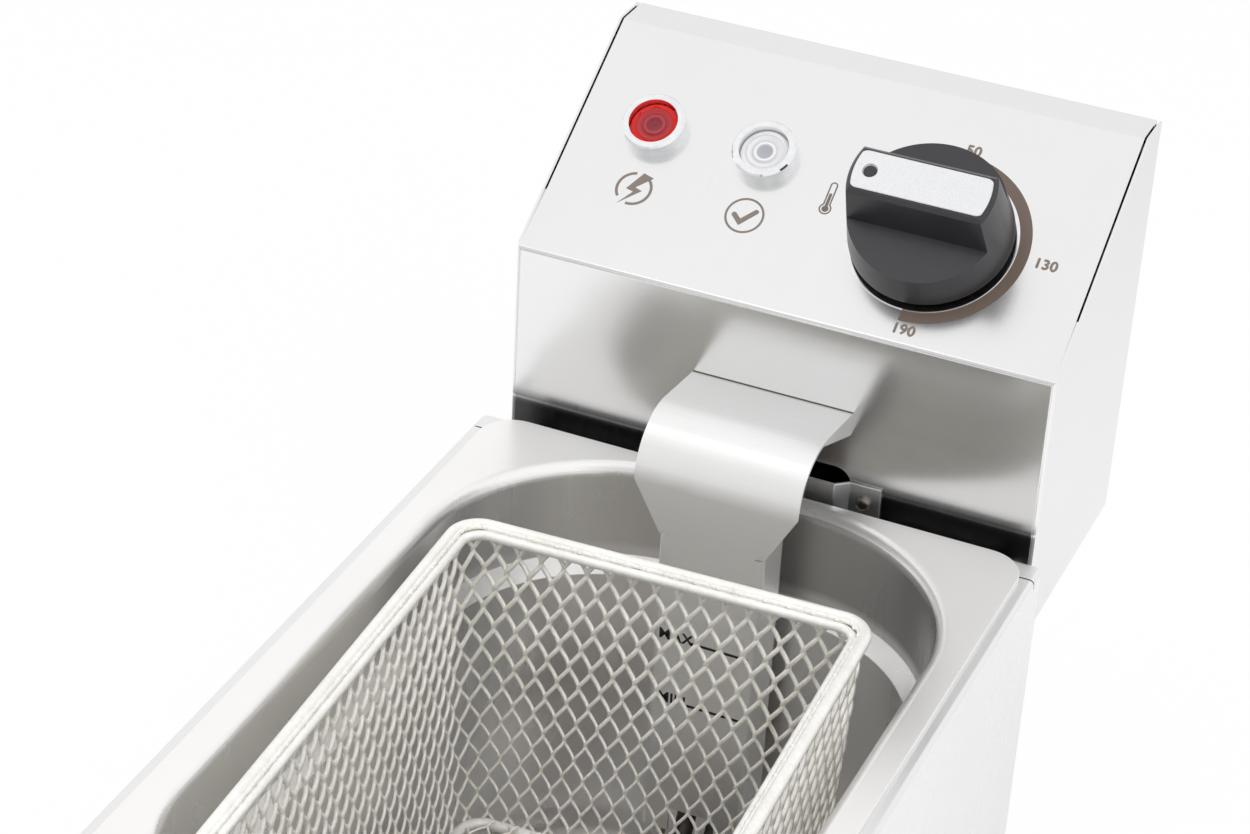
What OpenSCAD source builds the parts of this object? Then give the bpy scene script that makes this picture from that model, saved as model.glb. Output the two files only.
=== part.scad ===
// Countertop deep fryer: a sheet steel casing with a lift-out drawn tank, a control head that
// hangs behind it and carries the heating element, and a wire mesh basket with a folding handle.
// Origin: middle of the four feet on the worktop. +Z up, +Y towards the control head.

/* [Casing] */
// Width of the casing
casing_w = 190.8; // [158:0.1:230]
// Length of the casing, front to back, without the head
casing_l = 282; // [234:1:340]
// Height of the casing's top above the worktop
casing_top = 180; // [150:1:220]
// Thickness of the casing's and the head's steel sheet
sheet_t = 0.8; // [0.6:0.05:1.2]
// Outer radius of the casing's upright corners
casing_corner_r = 2.5; // [2.2:0.1:5]
// Outer radius of the bend along the casing's top and bottom edges
edge_bend_r = 1.6; // [1.3:0.1:2]
// Width of the fold under the casing that the base plate is screwed to
base_fold = 14; // [11:0.5:20]

/* [Feet] */
// Height of the rubber feet
foot_h = 16; // [10:1:30]
// Radius of a foot at its top
foot_r = 12; // [9:0.5:14]
// Distance from the casing's walls to a foot's axis
foot_inset = 27; // [27:1:40]

/* [Tank] */
// Thickness of the tank's sheet
tank_t = 0.8; // [0.6:0.05:1.2]
// Height that the tank's flange stands above the casing
flange_lift = 1.5; // [1.2:0.1:3]
// Casing top left bare beside the flange
flange_edge_side = 4.4; // [3:0.1:10]
// Casing top left bare in front of and behind the flange
flange_edge_end = 0.7; // [0.5:0.1:4]
// Width of the flange beside the opening
flange_side = 11; // [9:0.5:16]
// Width of the flange in front of and behind the opening
flange_end = 6.5; // [6:0.5:14]
// Radius of the roll from the flange into the tank
roll_r = 4.5; // [3:0.1:5]
// Corner radius of the opening
tank_corner_r = 60; // [45:1:64]
// Depth from the flange to the shoulder
shoulder_depth = 33; // [20:1:45]
// Width of the sloping shoulder
shoulder_w = 5; // [3:0.5:8]
// Radius between the tank's wall and floor
floor_r = 18; // [8:1:26]
// Air space between the tank's floor and the base plate
tank_floor_gap = 15; // [8:1:25]

/* [Head] */
// Width of the control head
head_w = 180; // [150:0.5:216]
// Gap between the casing and the head's front face
head_gap = 8.3; // [7.8:0.1:12]
// Height of the panel's lower bend above the casing's top
head_rise = 58.7; // [52:0.1:80]
// How far the head hangs below the casing's top
head_drop = 34; // [30:0.5:60]
// Horizontal run of the slanting panel
panel_run = 75.4; // [66:0.1:90]
// Rise of the slanting panel
panel_rise = 49.8; // [38:0.1:60]
// Depth of the flat strip along the head's top
top_strip = 14.1; // [10:0.1:20]
// Inside radius of the head's bends
head_bend_r = 1.2; // [0.8:0.1:2]
// Open seam between the panel and the side plates
seam = 0.7; // [0.4:0.1:1.2]

/* [Panel fittings] */
// Knob axis: sideways from the middle, and up the panel
knob_at = [36.5, 39]; // [-60:0.5:60]
// Radius of the knob's skirt
knob_r = 26; // [20:0.1:31]
// Height of the knob's top above the panel
knob_h = 31.5; // [26:0.5:38]
// Width of the knob's grip bar
grip_w = 17; // [13:0.2:19]
// Mains lamp: sideways from the middle, and up the panel
mains_lamp_at = [-62.4, 53]; // [-80:0.5:80]
// Heating lamp: sideways from the middle, and up the panel
heat_lamp_at = [-24.2, 52.8]; // [-80:0.5:80]
// Outer radius of a lamp bezel
bezel_r = 10.4; // [9:0.1:12]
// Inner radius of a lamp bezel
bezel_bore_r = 8.05; // [7:0.05:8.5]
// Height of a lamp bezel
bezel_h = 5; // [3:0.5:8]

/* [Element guard] */
// Width of the guard where it leaves the head
guard_w = 54; // [48:0.5:60]
// Width of the channel that goes down into the oil
channel_w = 35; // [32:0.5:40]
// Depth of the channel
channel_depth = 16; // [14:0.5:20]
// Distance from the head's face to the channel's face
guard_reach = 44.5; // [42:0.5:52]
// Thickness of the guard's sheet
guard_t = 1; // [0.8:0.1:1.5]

/* [Heating element] */
// Radius of the element's tube
element_r = 3.2; // [2.8:0.1:4]
// Radius of the element's bends, at the tube's middle
element_bend_r = 11; // [9:0.5:12]
// Height of the tube's middle above the tank's floor
element_height = 25; // [20:1:40]
// Distance between the element's two legs
leg_pitch = 10.4; // [9:0.2:12]

/* [Basket] */
// Gap between the basket's rim and the tank's lower wall, each side
basket_side_gap = 7.5; // [6:0.5:14]
// Gap between the basket and the tank's rear wall, for the element's legs
basket_rear_gap = 52.5; // [48:0.5:70]
// Gap between the basket and the tank's front wall
basket_front_gap = 20; // [14:0.5:30]
// Height of the rim above the casing's top
rim_height = 8.7; // [7:0.1:20]
// Clear height between the element and the basket
basket_over_element = 17; // [10:1:30]
// Radius of the rim wire and of the bottom frame's wire
rim_wire_r = 2; // [1.5:0.1:2.5]
// Radius of the inner rim wire
inner_wire_r = 1.5; // [1.2:0.1:2]
// Corner radius of the rim, at the wire's middle
rim_corner_r = 9; // [7:0.5:20]
// How far each wall leans in between the rim and the floor
basket_taper = 8; // [4:0.5:12]
// Width of a mesh diamond
mesh_w = 11; // [6:0.1:16]
// Height of a mesh diamond
mesh_h = 20; // [9:0.1:28]
// Thickness of the mesh wire
mesh_wire = 1.2; // [0.9:0.1:2]
// How far the basket sits askew in the tank, in degrees
basket_turn = 2.5; // [-3:0.1:3]

/* [Handle] */
// Radius of the handle's wire
handle_wire_r = 2.5; // [2:0.1:3]
// Length from the pivot to the grip's end
handle_l = 165; // [140:1:175]
// Length of the grip
grip_l = 95; // [80:1:105]
// Slope of the handle above level in use, in degrees
handle_slope = 18; // [10:1:30]

/* [Fits] */
// Radial clearance of a turning or sliding fit
running_clearance = 0.06; // [0.02:0.01:0.1]
// Gap between pieces that only pass each other
passing_gap = 0.4; // [0.3:0.05:0.8]

/* [Hidden] */
$fn = 64;

steel = [0.82, 0.82, 0.83];
tinned_wire = [0.86, 0.85, 0.80];
black_plastic = [0.13, 0.13, 0.14];

// Casing and tank
casing_h = casing_top - foot_h;
flange_top = casing_top + flange_lift;
tank_w = casing_w - 2 * (flange_edge_side + flange_side);
tank_l = casing_l - 2 * (flange_edge_end + flange_end);
flange_w = casing_w - 2 * flange_edge_side;
flange_l = casing_l - 2 * flange_edge_end;
flange_corner_r = 12;
seat_gap = 3;
tank_floor = foot_h + sheet_t + tank_floor_gap + tank_t;
lower_w = tank_w - 2 * shoulder_w;
lower_l = tank_l - 2 * shoulder_w;
lower_corner_r = tank_corner_r - shoulder_w;
corner_slit = 0.6;

// Head, measured from the middle of the panel's lower bend
head_y = casing_l / 2 + head_gap;
head_z = casing_top + head_rise;
panel_tilt = atan2(panel_rise, panel_run);
head_depth = panel_run + top_strip;
head_bottom = -head_rise - head_drop;
head_inner_w = head_w - 2 * sheet_t;
head_return = 10;
tank_rim = flange_top - head_z;
tank_floor_low = tank_floor - head_z;
element_z = tank_floor_low + element_height;
opening_w = 57.4;
opening_top = tank_rim + 8.7;
opening_bottom = tank_rim - 9;

// Head's gap to the tank's lower rear wall and the basket's place
lower_rear_y = lower_l / 2;
basket_w = lower_w - 2 * basket_side_gap;
basket_l = lower_l - basket_rear_gap - basket_front_gap;
basket_mid_y = (lower_l / 2 - basket_rear_gap + (-lower_l / 2 + basket_front_gap)) / 2;
basket_mid_x = 1.05;
rim_z = casing_top + rim_height - rim_wire_r;
frame_z = element_z + head_z + element_r + basket_over_element + rim_wire_r;
basket_depth = rim_z - frame_z;

// ---- Small functions for bent sheet and bent wire ----

function unit(v) = v / norm(v);
function leftward(v) = [-v[1], v[0]];
function reversed(list) = [for (i = [len(list) - 1:-1:0]) list[i]];
function turn_of(a, b, c) = sign(cross(b - a, c - b));
function short_sweep(from, to) = (to - from + 540) % 360 - 180;

// Geometry of a bend at b, between the legs to a and c: [centre, start angle, sweep, leg lost]
function bend_at(a, b, c, r) =
    let (u = unit(a - b), v = unit(c - b), half = acos(u * v) / 2, lost = r / tan(half))
    let (middle = b + unit(u + v) * r / sin(half))
    let (from = b + u * lost - middle, to = b + v * lost - middle)
    let (start = atan2(from[1], from[0]))
    [middle, start, short_sweep(start, atan2(to[1], to[0])), lost];

function bend_points(a, b, c, r, steps = 6) =
    let (bend = bend_at(a, b, c, r))
    [for (i = [0:steps]) bend[0] + r * [cos(bend[1] + bend[2] * i / steps),
                                        sin(bend[1] + bend[2] * i / steps)]];

function rounded_path(path, radii, steps = 6) = [
    path[0],
    for (i = [1:len(path) - 2])
        each bend_points(path[i - 1], path[i], path[i + 1], radii[i - 1], steps),
    path[len(path) - 1]
];

function offset_corner(a, b, c, d) =
    let (m = leftward(unit(b - a)), n = leftward(unit(c - b)))
    b + d * (m + n) / (1 + m * n);

function offset_path(path, d) =
    let (last = len(path) - 1)
    [for (i = [0:last])
        i == 0 ? path[0] + d * leftward(unit(path[1] - path[0]))
        : i == last ? path[last] + d * leftward(unit(path[last] - path[last - 1]))
        : offset_corner(path[i - 1], path[i], path[i + 1], d)];

// Outline of a sheet of thickness t that follows a path, lying to its left, with inside radii
function sheet_outline(path, radii, t, steps = 6) =
    let (turns = [for (i = [1:len(path) - 2]) turn_of(path[i - 1], path[i], path[i + 1])])
    let (face_r = [for (i = [0:len(radii) - 1]) radii[i] + (turns[i] > 0 ? t : 0)])
    let (back_r = [for (i = [0:len(radii) - 1]) radii[i] + (turns[i] > 0 ? 0 : t)])
    concat(rounded_path(path, face_r, steps),
           reversed(rounded_path(offset_path(path, t), back_r, steps)));

module bent_sheet(path, radii, t, steps = 6)
    polygon(sheet_outline(path, radii, t, steps));

module round_rect(w, l, r) {
    square([w - 2 * r, l], center = true);
    square([w, l - 2 * r], center = true);
    for (x = [-1, 1], y = [-1, 1])
        translate([x * (w / 2 - r), y * (l / 2 - r)]) circle(r);
}

// Quarter of a ring in the quadrant (-x, +y)
module quarter_ring(outer, inner)
    intersection() {
        difference() {
            circle(outer);
            circle(inner);
        }
        translate([-outer, 0]) square(outer);
    }

// Carries a profile round a w x l outline with round corners. The profile's x is the distance
// outwards from the outline and its y is the height.
module sweep_round(w, l, r)
    for (k = [0:3]) {
        side_w = k % 2 == 0 ? w : l;
        side_l = k % 2 == 0 ? l : w;
        rotate([0, 0, 90 * k]) {
            translate([side_w / 2, 0, 0]) rotate([90, 0, 0])
                linear_extrude(side_l - 2 * r, center = true) children();
            translate([side_w / 2 - r, side_l / 2 - r, 0]) rotate_extrude(angle = 90)
                translate([r, 0]) children();
        }
    }

module rod(from, to, r) {
    d = to - from;
    translate(from) rotate([0, acos(d[2] / norm(d)), atan2(d[1], d[0])])
        cylinder(r = r, h = norm(d));
}

// A round wire bent in the XY plane through the path's points
module bent_wire(path, bend_r, wire_r, closed = false) {
    n = len(path);
    lost = [for (i = [0:n - 1])
        !closed && (i == 0 || i == n - 1) ? 0
        : bend_at(path[(i + n - 1) % n], path[i], path[(i + 1) % n], bend_r)[3]];
    for (i = [0:closed ? n - 1 : n - 2]) {
        a = path[i];
        b = path[(i + 1) % n];
        along = unit(b - a);
        start = a + along * lost[i];
        stop = b - along * lost[(i + 1) % n];
        rod([start[0], start[1], 0], [stop[0], stop[1], 0], wire_r);
    }
    for (i = [closed ? 0 : 1:closed ? n - 1 : n - 2]) {
        bend = bend_at(path[(i + n - 1) % n], path[i], path[(i + 1) % n], bend_r);
        from = bend[2] < 0 ? bend[1] + bend[2] : bend[1];
        translate([bend[0][0], bend[0][1], 0]) rotate([0, 0, from])
            rotate_extrude(angle = abs(bend[2])) translate([bend_r, 0]) circle(wire_r);
    }
}

// Frames of reference
module at_head() translate([0, head_y, head_z]) children();
module on_panel(at) at_head() rotate([panel_tilt, 0, 0]) translate([at[0], at[1], 0]) children();
module side_view(width) rotate([90, 0, 90]) linear_extrude(width, center = true) children();
module on_back(x, z) at_head() translate([x, head_depth, z]) rotate([-90, 0, 0]) children();

// ---- Casing ----

foot_spots = [for (y = [-1, 1], x = [-1, 1])
    [x * (casing_w / 2 - foot_inset), y * (casing_l / 2 - foot_inset)]];
base_l = casing_l - 2 * edge_bend_r - 2 * passing_gap;
base_w = casing_w - 2 * edge_bend_r - 2 * passing_gap;
base_screw_r = 1.6;
base_screw_spots = [for (y = [-1, 0, 1], x = [-1, 1])
    [x * (casing_w / 2 - base_fold / 2 - sheet_t), y * (casing_l / 2 - 60)]];
foot_bolt_r = 2;

module casing_profile() {
    translate([-sheet_t, foot_h + edge_bend_r])
        square([sheet_t, casing_h - 2 * edge_bend_r]);
    translate([-edge_bend_r, casing_top - edge_bend_r]) mirror([1, 0])
        quarter_ring(edge_bend_r, edge_bend_r - sheet_t);
    translate([-edge_bend_r, foot_h + edge_bend_r]) rotate(180)
        quarter_ring(edge_bend_r, edge_bend_r - sheet_t);
}

module casing_shell() {
    fold_r = casing_corner_r - edge_bend_r;
    color(steel) difference() {
        union() {
            sweep_round(casing_w, casing_l, casing_corner_r) casing_profile();
            translate([0, 0, casing_top - sheet_t]) linear_extrude(sheet_t) difference() {
                round_rect(casing_w - 2 * edge_bend_r, casing_l - 2 * edge_bend_r, fold_r);
                round_rect(tank_w + 2 * seat_gap, tank_l + 2 * seat_gap, 4);
            }
            translate([0, 0, foot_h]) linear_extrude(sheet_t) difference() {
                round_rect(casing_w - 2 * edge_bend_r, casing_l - 2 * edge_bend_r, fold_r);
                round_rect(casing_w - 2 * base_fold, casing_l - 2 * base_fold, 4);
            }
        }
        // slits where the side folds overlap the end folds
        for (x = [-1, 1], y = [-1, 1])
            translate([x * (casing_w / 2 - 2.6), y * (casing_l / 2 - 9), casing_top - 1])
                cube([6, corner_slit, 4], center = true);
        for (at = base_screw_spots)
            translate([at[0], at[1], foot_h - 1]) cylinder(r = base_screw_r + 0.3, h = 4);
        for (x = [-1, 1], k = [-1, 1])
            translate([x * hanger_x + k * hanger_rivet_x, casing_l / 2, hanger_mid_z])
                rotate([90, 0, 0]) cylinder(r = rivet_r, h = 8, center = true);
    }
}

module base_plate() {
    slot_w = 3;
    slot_l = 46;
    color(steel) difference() {
        translate([0, 0, foot_h + sheet_t]) linear_extrude(sheet_t) difference() {
            round_rect(base_w, base_l, casing_corner_r);
            for (at = foot_spots) translate(at) circle(foot_bolt_r);
            for (at = base_screw_spots) translate(at) circle(base_screw_r);
            for (i = [-4:4]) translate([i * 9, 0]) {
                square([slot_w, slot_l - slot_w], center = true);
                for (k = [-1, 1]) translate([0, k * (slot_l - slot_w) / 2]) circle(slot_w / 2);
            }
        }
    }
}

module screw_up(head_r, shank_r, length) {
    // head below z = 0, shank above it
    translate([0, 0, -1.2]) cylinder(r1 = head_r - 0.8, r2 = head_r, h = 1.2);
    cylinder(r = shank_r, h = length);
}

module base_screws()
    color(steel) for (at = base_screw_spots)
        translate([at[0], at[1], foot_h]) screw_up(3, base_screw_r - 0.01, 5);

module foot(at)
    color([0.1, 0.1, 0.1]) translate([at[0], at[1], 0]) difference() {
        rotate_extrude() polygon([
            [foot_bolt_r + 0.4, 6], [6, 6], [6, 0], [foot_r - 3.6, 0], [foot_r - 2.6, 1],
            [foot_r, foot_h - 2], [foot_r, foot_h + sheet_t], [foot_bolt_r + 0.4, foot_h + sheet_t]
        ]);
    }

module foot_screws()
    color(steel) for (at = foot_spots) translate([at[0], at[1], 0]) {
        translate([0, 0, 4]) cylinder(r = 4, h = 2);
        translate([0, 0, 6]) cylinder(r = foot_bolt_r - 0.01, h = foot_h + 2 * sheet_t - 1);
        translate([0, 0, foot_h + 2 * sheet_t]) cylinder(r = 4, h = 3, $fn = 6);
    }

// ---- Hanger on the casing and hook on the head ----

hanger_x = head_w / 2 - 32;
hanger_w = 44;
hanger_half = 34;
hanger_top = casing_top - 10.5;
hanger_h = 17;
hanger_mid_z = hanger_top - hanger_h / 2;
hanger_t = 1.2;
tongue_t = 1.5;
tongue_gap = 1.1;
hanger_rivet_x = 30;
rivet_r = 1.6;
hook_bend_r = 0.6;
hanger_stand = tongue_gap + tongue_t + hook_bend_r + 0.5 * passing_gap;

module hanger_strip()
    linear_extrude(hanger_h, center = true) bent_sheet([
        [-hanger_half, 0], [-hanger_w / 2 - hanger_stand, 0], [-hanger_w / 2, hanger_stand],
        [hanger_w / 2, hanger_stand], [hanger_w / 2 + hanger_stand, 0], [hanger_half, 0]
    ], [0.8, 0.8, 0.8, 0.8], hanger_t);

module head_hanger()
    color(steel) for (x = [-1, 1]) translate([x * hanger_x, casing_l / 2, hanger_mid_z])
        difference() {
            hanger_strip();
            for (k = [-1, 1]) translate([k * hanger_rivet_x, 0, 0]) rotate([90, 0, 0])
                cylinder(r = rivet_r, h = 8, center = true);
        }

module hanger_rivets()
    color(steel) for (x = [-1, 1], k = [-1, 1])
        translate([x * hanger_x + k * hanger_rivet_x, casing_l / 2, hanger_mid_z])
            rotate([90, 0, 0]) {
                translate([0, 0, -hanger_t - 0.8]) cylinder(r = 2.8, h = 0.8);
                translate([0, 0, -hanger_t]) cylinder(r = rivet_r, h = hanger_t + sheet_t);
                translate([0, 0, sheet_t]) cylinder(r = 2.6, h = 0.8);
            }

// ---- Tank ----

module tank_profile(depth) {
    wall_low = depth - floor_r;
    slope = shoulder_w + tank_t * tan(22.5);
    translate([roll_r, -roll_r]) quarter_ring(roll_r, roll_r - tank_t);
    polygon([
        [0, -roll_r], [0, -shoulder_depth], [-shoulder_w, -shoulder_depth - shoulder_w],
        [-shoulder_w, -wall_low], [-shoulder_w + tank_t, -wall_low],
        [-shoulder_w + tank_t, -shoulder_depth - slope],
        [tank_t, -shoulder_depth - slope + shoulder_w], [tank_t, -roll_r]
    ]);
    translate([-shoulder_w - floor_r, -wall_low]) rotate(180)
        quarter_ring(floor_r + tank_t, floor_r);
}

module tank() {
    depth = flange_top - tank_floor;
    inset = roll_r;
    color(steel) {
        translate([0, 0, flange_top]) sweep_round(tank_w, tank_l, tank_corner_r)
            tank_profile(depth);
        translate([0, 0, tank_floor - tank_t]) linear_extrude(tank_t)
            round_rect(lower_w - 2 * floor_r, lower_l - 2 * floor_r, lower_corner_r - floor_r);
        translate([0, 0, flange_top - tank_t]) linear_extrude(tank_t) difference() {
            round_rect(flange_w, flange_l, flange_corner_r);
            round_rect(tank_w + 2 * inset, tank_l + 2 * inset, tank_corner_r + inset);
        }
        translate([0, 0, casing_top]) linear_extrude(flange_lift - tank_t) difference() {
            round_rect(flange_w, flange_l, flange_corner_r);
            round_rect(flange_w - 2 * tank_t, flange_l - 2 * tank_t, flange_corner_r - tank_t);
        }
    }
}

// ---- Head ----

// Side outline of the head, moved in by i, with its front and top bends rounded
function head_outline(i, rear, low, r) =
    let (front = [i, -i * tan(45 - panel_tilt / 2)])
    let (top = [panel_run + i * tan(panel_tilt / 2), panel_rise - i])
    concat([[i, low]],
           bend_points([i, low], front, top, r),
           bend_points(front, top, [rear, panel_rise - i], r),
           [[rear, panel_rise - i], [rear, low]]);

module head_plan(i, rear)
    difference() {
        translate([-head_w / 2 + i, i]) square([head_w - 2 * i, rear]);
        for (x = [-1, 1]) scale([x, 1]) translate([head_w / 2 - i, i]) difference() {
            corner_r = head_bend_r + sheet_t - i;
            translate([-corner_r, -1]) square([corner_r + 1, corner_r + 1]);
            translate([-corner_r, corner_r]) circle(corner_r);
        }
    }

module head_block(i, rear, low)
    intersection() {
        side_view(head_w - 2 * i)
            polygon(head_outline(i, rear, low, head_bend_r + (i > 0 ? 0 : sheet_t)));
        translate([0, 0, low - 1]) linear_extrude(panel_rise - low + 10)
            head_plan(i, head_depth + 20);
    }

module head_shell()
    color(steel) {
        difference() {
            at_head() difference() {
                head_block(0, head_depth, head_bottom);
                head_block(sheet_t, head_depth + 5, head_bottom - 5);
                // open seams between the panel, the top strip and the side plates
                for (x = [-1, 1]) translate([x * (head_inner_w / 2 - seam / 2), 0, 0])
                    side_view(seam) polygon([
                        [-1, -0.5], [panel_run, panel_rise - 4], [head_depth + 1, panel_rise - 4],
                        [head_depth + 1, panel_rise + 2], [panel_run - 2, panel_rise + 2], [-1, 2]
                    ]);
                head_opening();
                for (x = bracket_screw_x) translate([x, 0, bracket_screw_z])
                    rotate([90, 0, 0]) cylinder(r = bracket_screw_r, h = 8, center = true);
                for (x = [-1, 1], k = [-1, 1])
                    translate([x * hanger_x + k * hook_rivet_x, 0, hook_rivet_z])
                        rotate([90, 0, 0]) cylinder(r = rivet_r, h = 8, center = true);
            }
            on_panel(knob_at) {
                cylinder(r = shaft_hole_r, h = 8, center = true);
                for (x = [-1, 1]) translate([x * thermostat_screw_x, 0, 0])
                    cylinder(r = thermostat_screw_r, h = 8, center = true);
            }
            for (at = [mains_lamp_at, heat_lamp_at]) on_panel(at)
                cylinder(r = lamp_neck_r, h = 8, center = true);
        }
        // folded returns that the back cover and the bottom plate are screwed to
        at_head() difference() {
            union() {
                for (x = [-1, 1]) scale([x, 1, 1]) {
                    translate([head_inner_w / 2 - head_return, head_depth - cover_t - sheet_t,
                               head_bottom + sheet_t])
                        cube([head_return, sheet_t, panel_rise - head_bottom - 3 * sheet_t]);
                    translate([head_inner_w / 2 - head_return, 1.5 * head_return,
                               head_bottom + sheet_t])
                        cube([head_return, head_depth - 3 * head_return, sheet_t]);
                }
            }
            cover_screw_holes(cover_screw_r);
            bottom_screw_holes(cover_screw_r);
        }
    }

module head_opening()
    translate([0, 2, (opening_top + opening_bottom) / 2]) rotate([90, 0, 0])
        linear_extrude(4) round_rect(opening_w, opening_top - opening_bottom, 6);

cover_t = 0.8;
cover_screw_r = 1.5;
cover_screw_spots = [for (z = [head_bottom + 14, (head_bottom + panel_rise) / 2, panel_rise - 12],
                          x = [-1, 1]) [x * (head_inner_w / 2 - head_return / 2), z]];
bottom_screw_spots = [for (y = [26, head_depth - 24], x = [-1, 1])
    [x * (head_inner_w / 2 - head_return / 2), y]];

module cover_screw_holes(r)
    for (at = cover_screw_spots) translate([at[0], head_depth - 3, at[1]]) rotate([-90, 0, 0])
        cylinder(r = r, h = 8);

module bottom_screw_holes(r)
    for (at = bottom_screw_spots) translate([at[0], at[1], head_bottom - 3])
        cylinder(r = r, h = 8);

module head_back_cover() {
    gap = passing_gap;
    slot_l = 60;
    slot_h = 2.5;
    color(steel) difference() {
        at_head() difference() {
            translate([-head_inner_w / 2 + gap, head_depth - cover_t, head_bottom + sheet_t + gap])
                cube([head_inner_w - 2 * gap, cover_t, panel_rise - head_bottom - 2 * (sheet_t + gap)]);
            cover_screw_holes(cover_screw_r);
            for (i = [0:4]) translate([0, head_depth, panel_rise - 18 - 7 * i]) rotate([90, 0, 0])
                linear_extrude(8, center = true) {
                    square([slot_l, slot_h], center = true);
                    for (x = [-1, 1]) translate([x * slot_l / 2, 0]) circle(slot_h / 2);
                }
        }
        on_back(reset_at[0], reset_at[1]) cylinder(r = reset_neck_r, h = 8, center = true);
        on_back(gland_at[0], gland_at[1]) cylinder(r = gland_neck_r, h = 8, center = true);
    }
}

module head_bottom_plate()
    color(steel) at_head() difference() {
        translate([-head_inner_w / 2 + passing_gap, sheet_t + passing_gap, head_bottom])
            cube([head_inner_w - 2 * passing_gap, head_depth - 2 * sheet_t - 2 * passing_gap, sheet_t]);
        bottom_screw_holes(cover_screw_r);
        for (i = [-3:3]) translate([i * 14, head_depth / 2, head_bottom - 1])
            linear_extrude(4) {
                square([3, 30], center = true);
                for (k = [-1, 1]) translate([0, 15 * k]) circle(1.5);
            }
    }

module pan_screw(head_r, shank_r, length) {
    // seat at z = 0, head above it, shank below
    intersection() {
        cylinder(r = head_r, h = 1.8);
        translate([0, 0, 1.8 - head_r * 1.6]) sphere(head_r * 1.6);
    }
    translate([0, 0, -length]) cylinder(r = shank_r, h = length);
}

module cover_screws()
    color(steel) at_head() {
        for (at = cover_screw_spots) translate([at[0], head_depth, at[1]]) rotate([-90, 0, 0])
            pan_screw(2.8, cover_screw_r - 0.01, 6);
        for (at = bottom_screw_spots) translate([at[0], at[1], head_bottom]) rotate([180, 0, 0])
            pan_screw(2.8, cover_screw_r - 0.01, 6);
    }

hook_step_z = hanger_top - head_z;
hook_rivet_x = 16;
hook_rivet_z = hook_step_z - 8;

module head_hook()
    color(steel) at_head() for (x = [-1, 1]) translate([x * hanger_x, 0, 0]) {
        tongue_y = -head_gap + tongue_gap;
        difference() {
            side_view(hanger_w - 8) bent_sheet([
                [0, hook_step_z - 15], [0, hook_step_z + tongue_t],
                [tongue_y, hook_step_z + tongue_t], [tongue_y, hook_step_z - 11]
            ], [hook_bend_r, hook_bend_r], tongue_t);
            for (k = [-1, 1]) translate([k * hook_rivet_x, 0, hook_rivet_z]) rotate([90, 0, 0])
                cylinder(r = rivet_r, h = 4, center = true);
        }
        // rivets formed from the hook's own metal
        for (k = [-1, 1]) translate([k * hook_rivet_x, 0, hook_rivet_z]) rotate([90, 0, 0]) {
            translate([0, 0, -sheet_t - 0.8]) cylinder(r = 2.6, h = 0.8);
            translate([0, 0, -sheet_t]) cylinder(r = rivet_r, h = sheet_t + tongue_t);
        }
    }

// ---- Guard over the element's legs ----

channel_low = element_z + 8;
guard_neck_z = tank_rim - 3;
guard_wide_low = tank_rim + 14.2;
guard_root_z = tank_rim + 29.2;

module guard_plate() {
    rise = guard_reach * 0.12;
    lip = 4;
    cheek = 0.55; // share of the reach that the cheeks run along
    color([0.78, 0.78, 0.77]) at_head() {
        // curved upper sheet, cut to its chamfered outline
        intersection() {
            side_view(guard_w) bent_sheet([
                [0, guard_root_z], [-guard_reach, guard_root_z + rise], [-guard_reach, guard_neck_z]
            ], [18], guard_t, 16);
            rotate([90, 0, 0]) linear_extrude(guard_reach + 10) polygon([
                [-guard_w / 2, guard_root_z + 10], [-guard_w / 2, guard_wide_low],
                [-channel_w / 2, guard_neck_z], [channel_w / 2, guard_neck_z],
                [guard_w / 2, guard_wide_low], [guard_w / 2, guard_root_z + 10]
            ]);
        }
        // cheeks folded down beside the head
        for (x = [-1, 1]) translate([x * (guard_w - guard_t) / 2, 0, guard_root_z])
            side_view(guard_t) polygon([
                [0, -guard_t / 2], [-guard_reach * cheek, rise * cheek - guard_t / 2],
                [-guard_reach * cheek, rise * cheek - 1.6], [0, -8]
            ]);
        // channel with its two side flanges
        difference() {
            translate([0, 0, channel_low]) linear_extrude(guard_neck_z - channel_low)
                bent_sheet([
                    [-channel_w / 2, channel_depth - guard_reach], [-channel_w / 2, -guard_reach],
                    [channel_w / 2, -guard_reach], [channel_w / 2, channel_depth - guard_reach]
                ], [1, 1], guard_t);
            translate([0, -guard_reach, channel_low]) cube([16, 8, 18], center = true);
            for (x = [-1, 1]) translate([x * (channel_w / 2), -guard_reach, guard_neck_z])
                cube([6, 5, 1.2], center = true);
        }
        for (x = [-1, 1]) translate([x * (channel_w - guard_t) / 2, 0, 0]) side_view(guard_t)
            polygon(concat(
                [[lip - guard_reach, guard_neck_z + 2], [lip - guard_reach, guard_neck_z - 1],
                 [channel_depth - guard_reach, guard_neck_z - 1]],
                bend_points([channel_depth - guard_reach, guard_neck_z - 1],
                            [channel_depth - guard_reach, guard_neck_z + 2],
                            [lip - guard_reach, guard_neck_z + 2], 2.4)));
    }
}

// ---- Bracket and heating element ----

bracket_stand = 4;
bracket_top = tank_rim + 4.8;
bracket_bottom = tank_rim - 6.8;
bracket_t = 1;
bracket_screw_r = 1.5;
bracket_screw_x = [-33.6, 33.6];
bracket_screw_z = tank_rim - 1.2;
leg_z = tank_rim + 5.2;
leg_y = -34;

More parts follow.
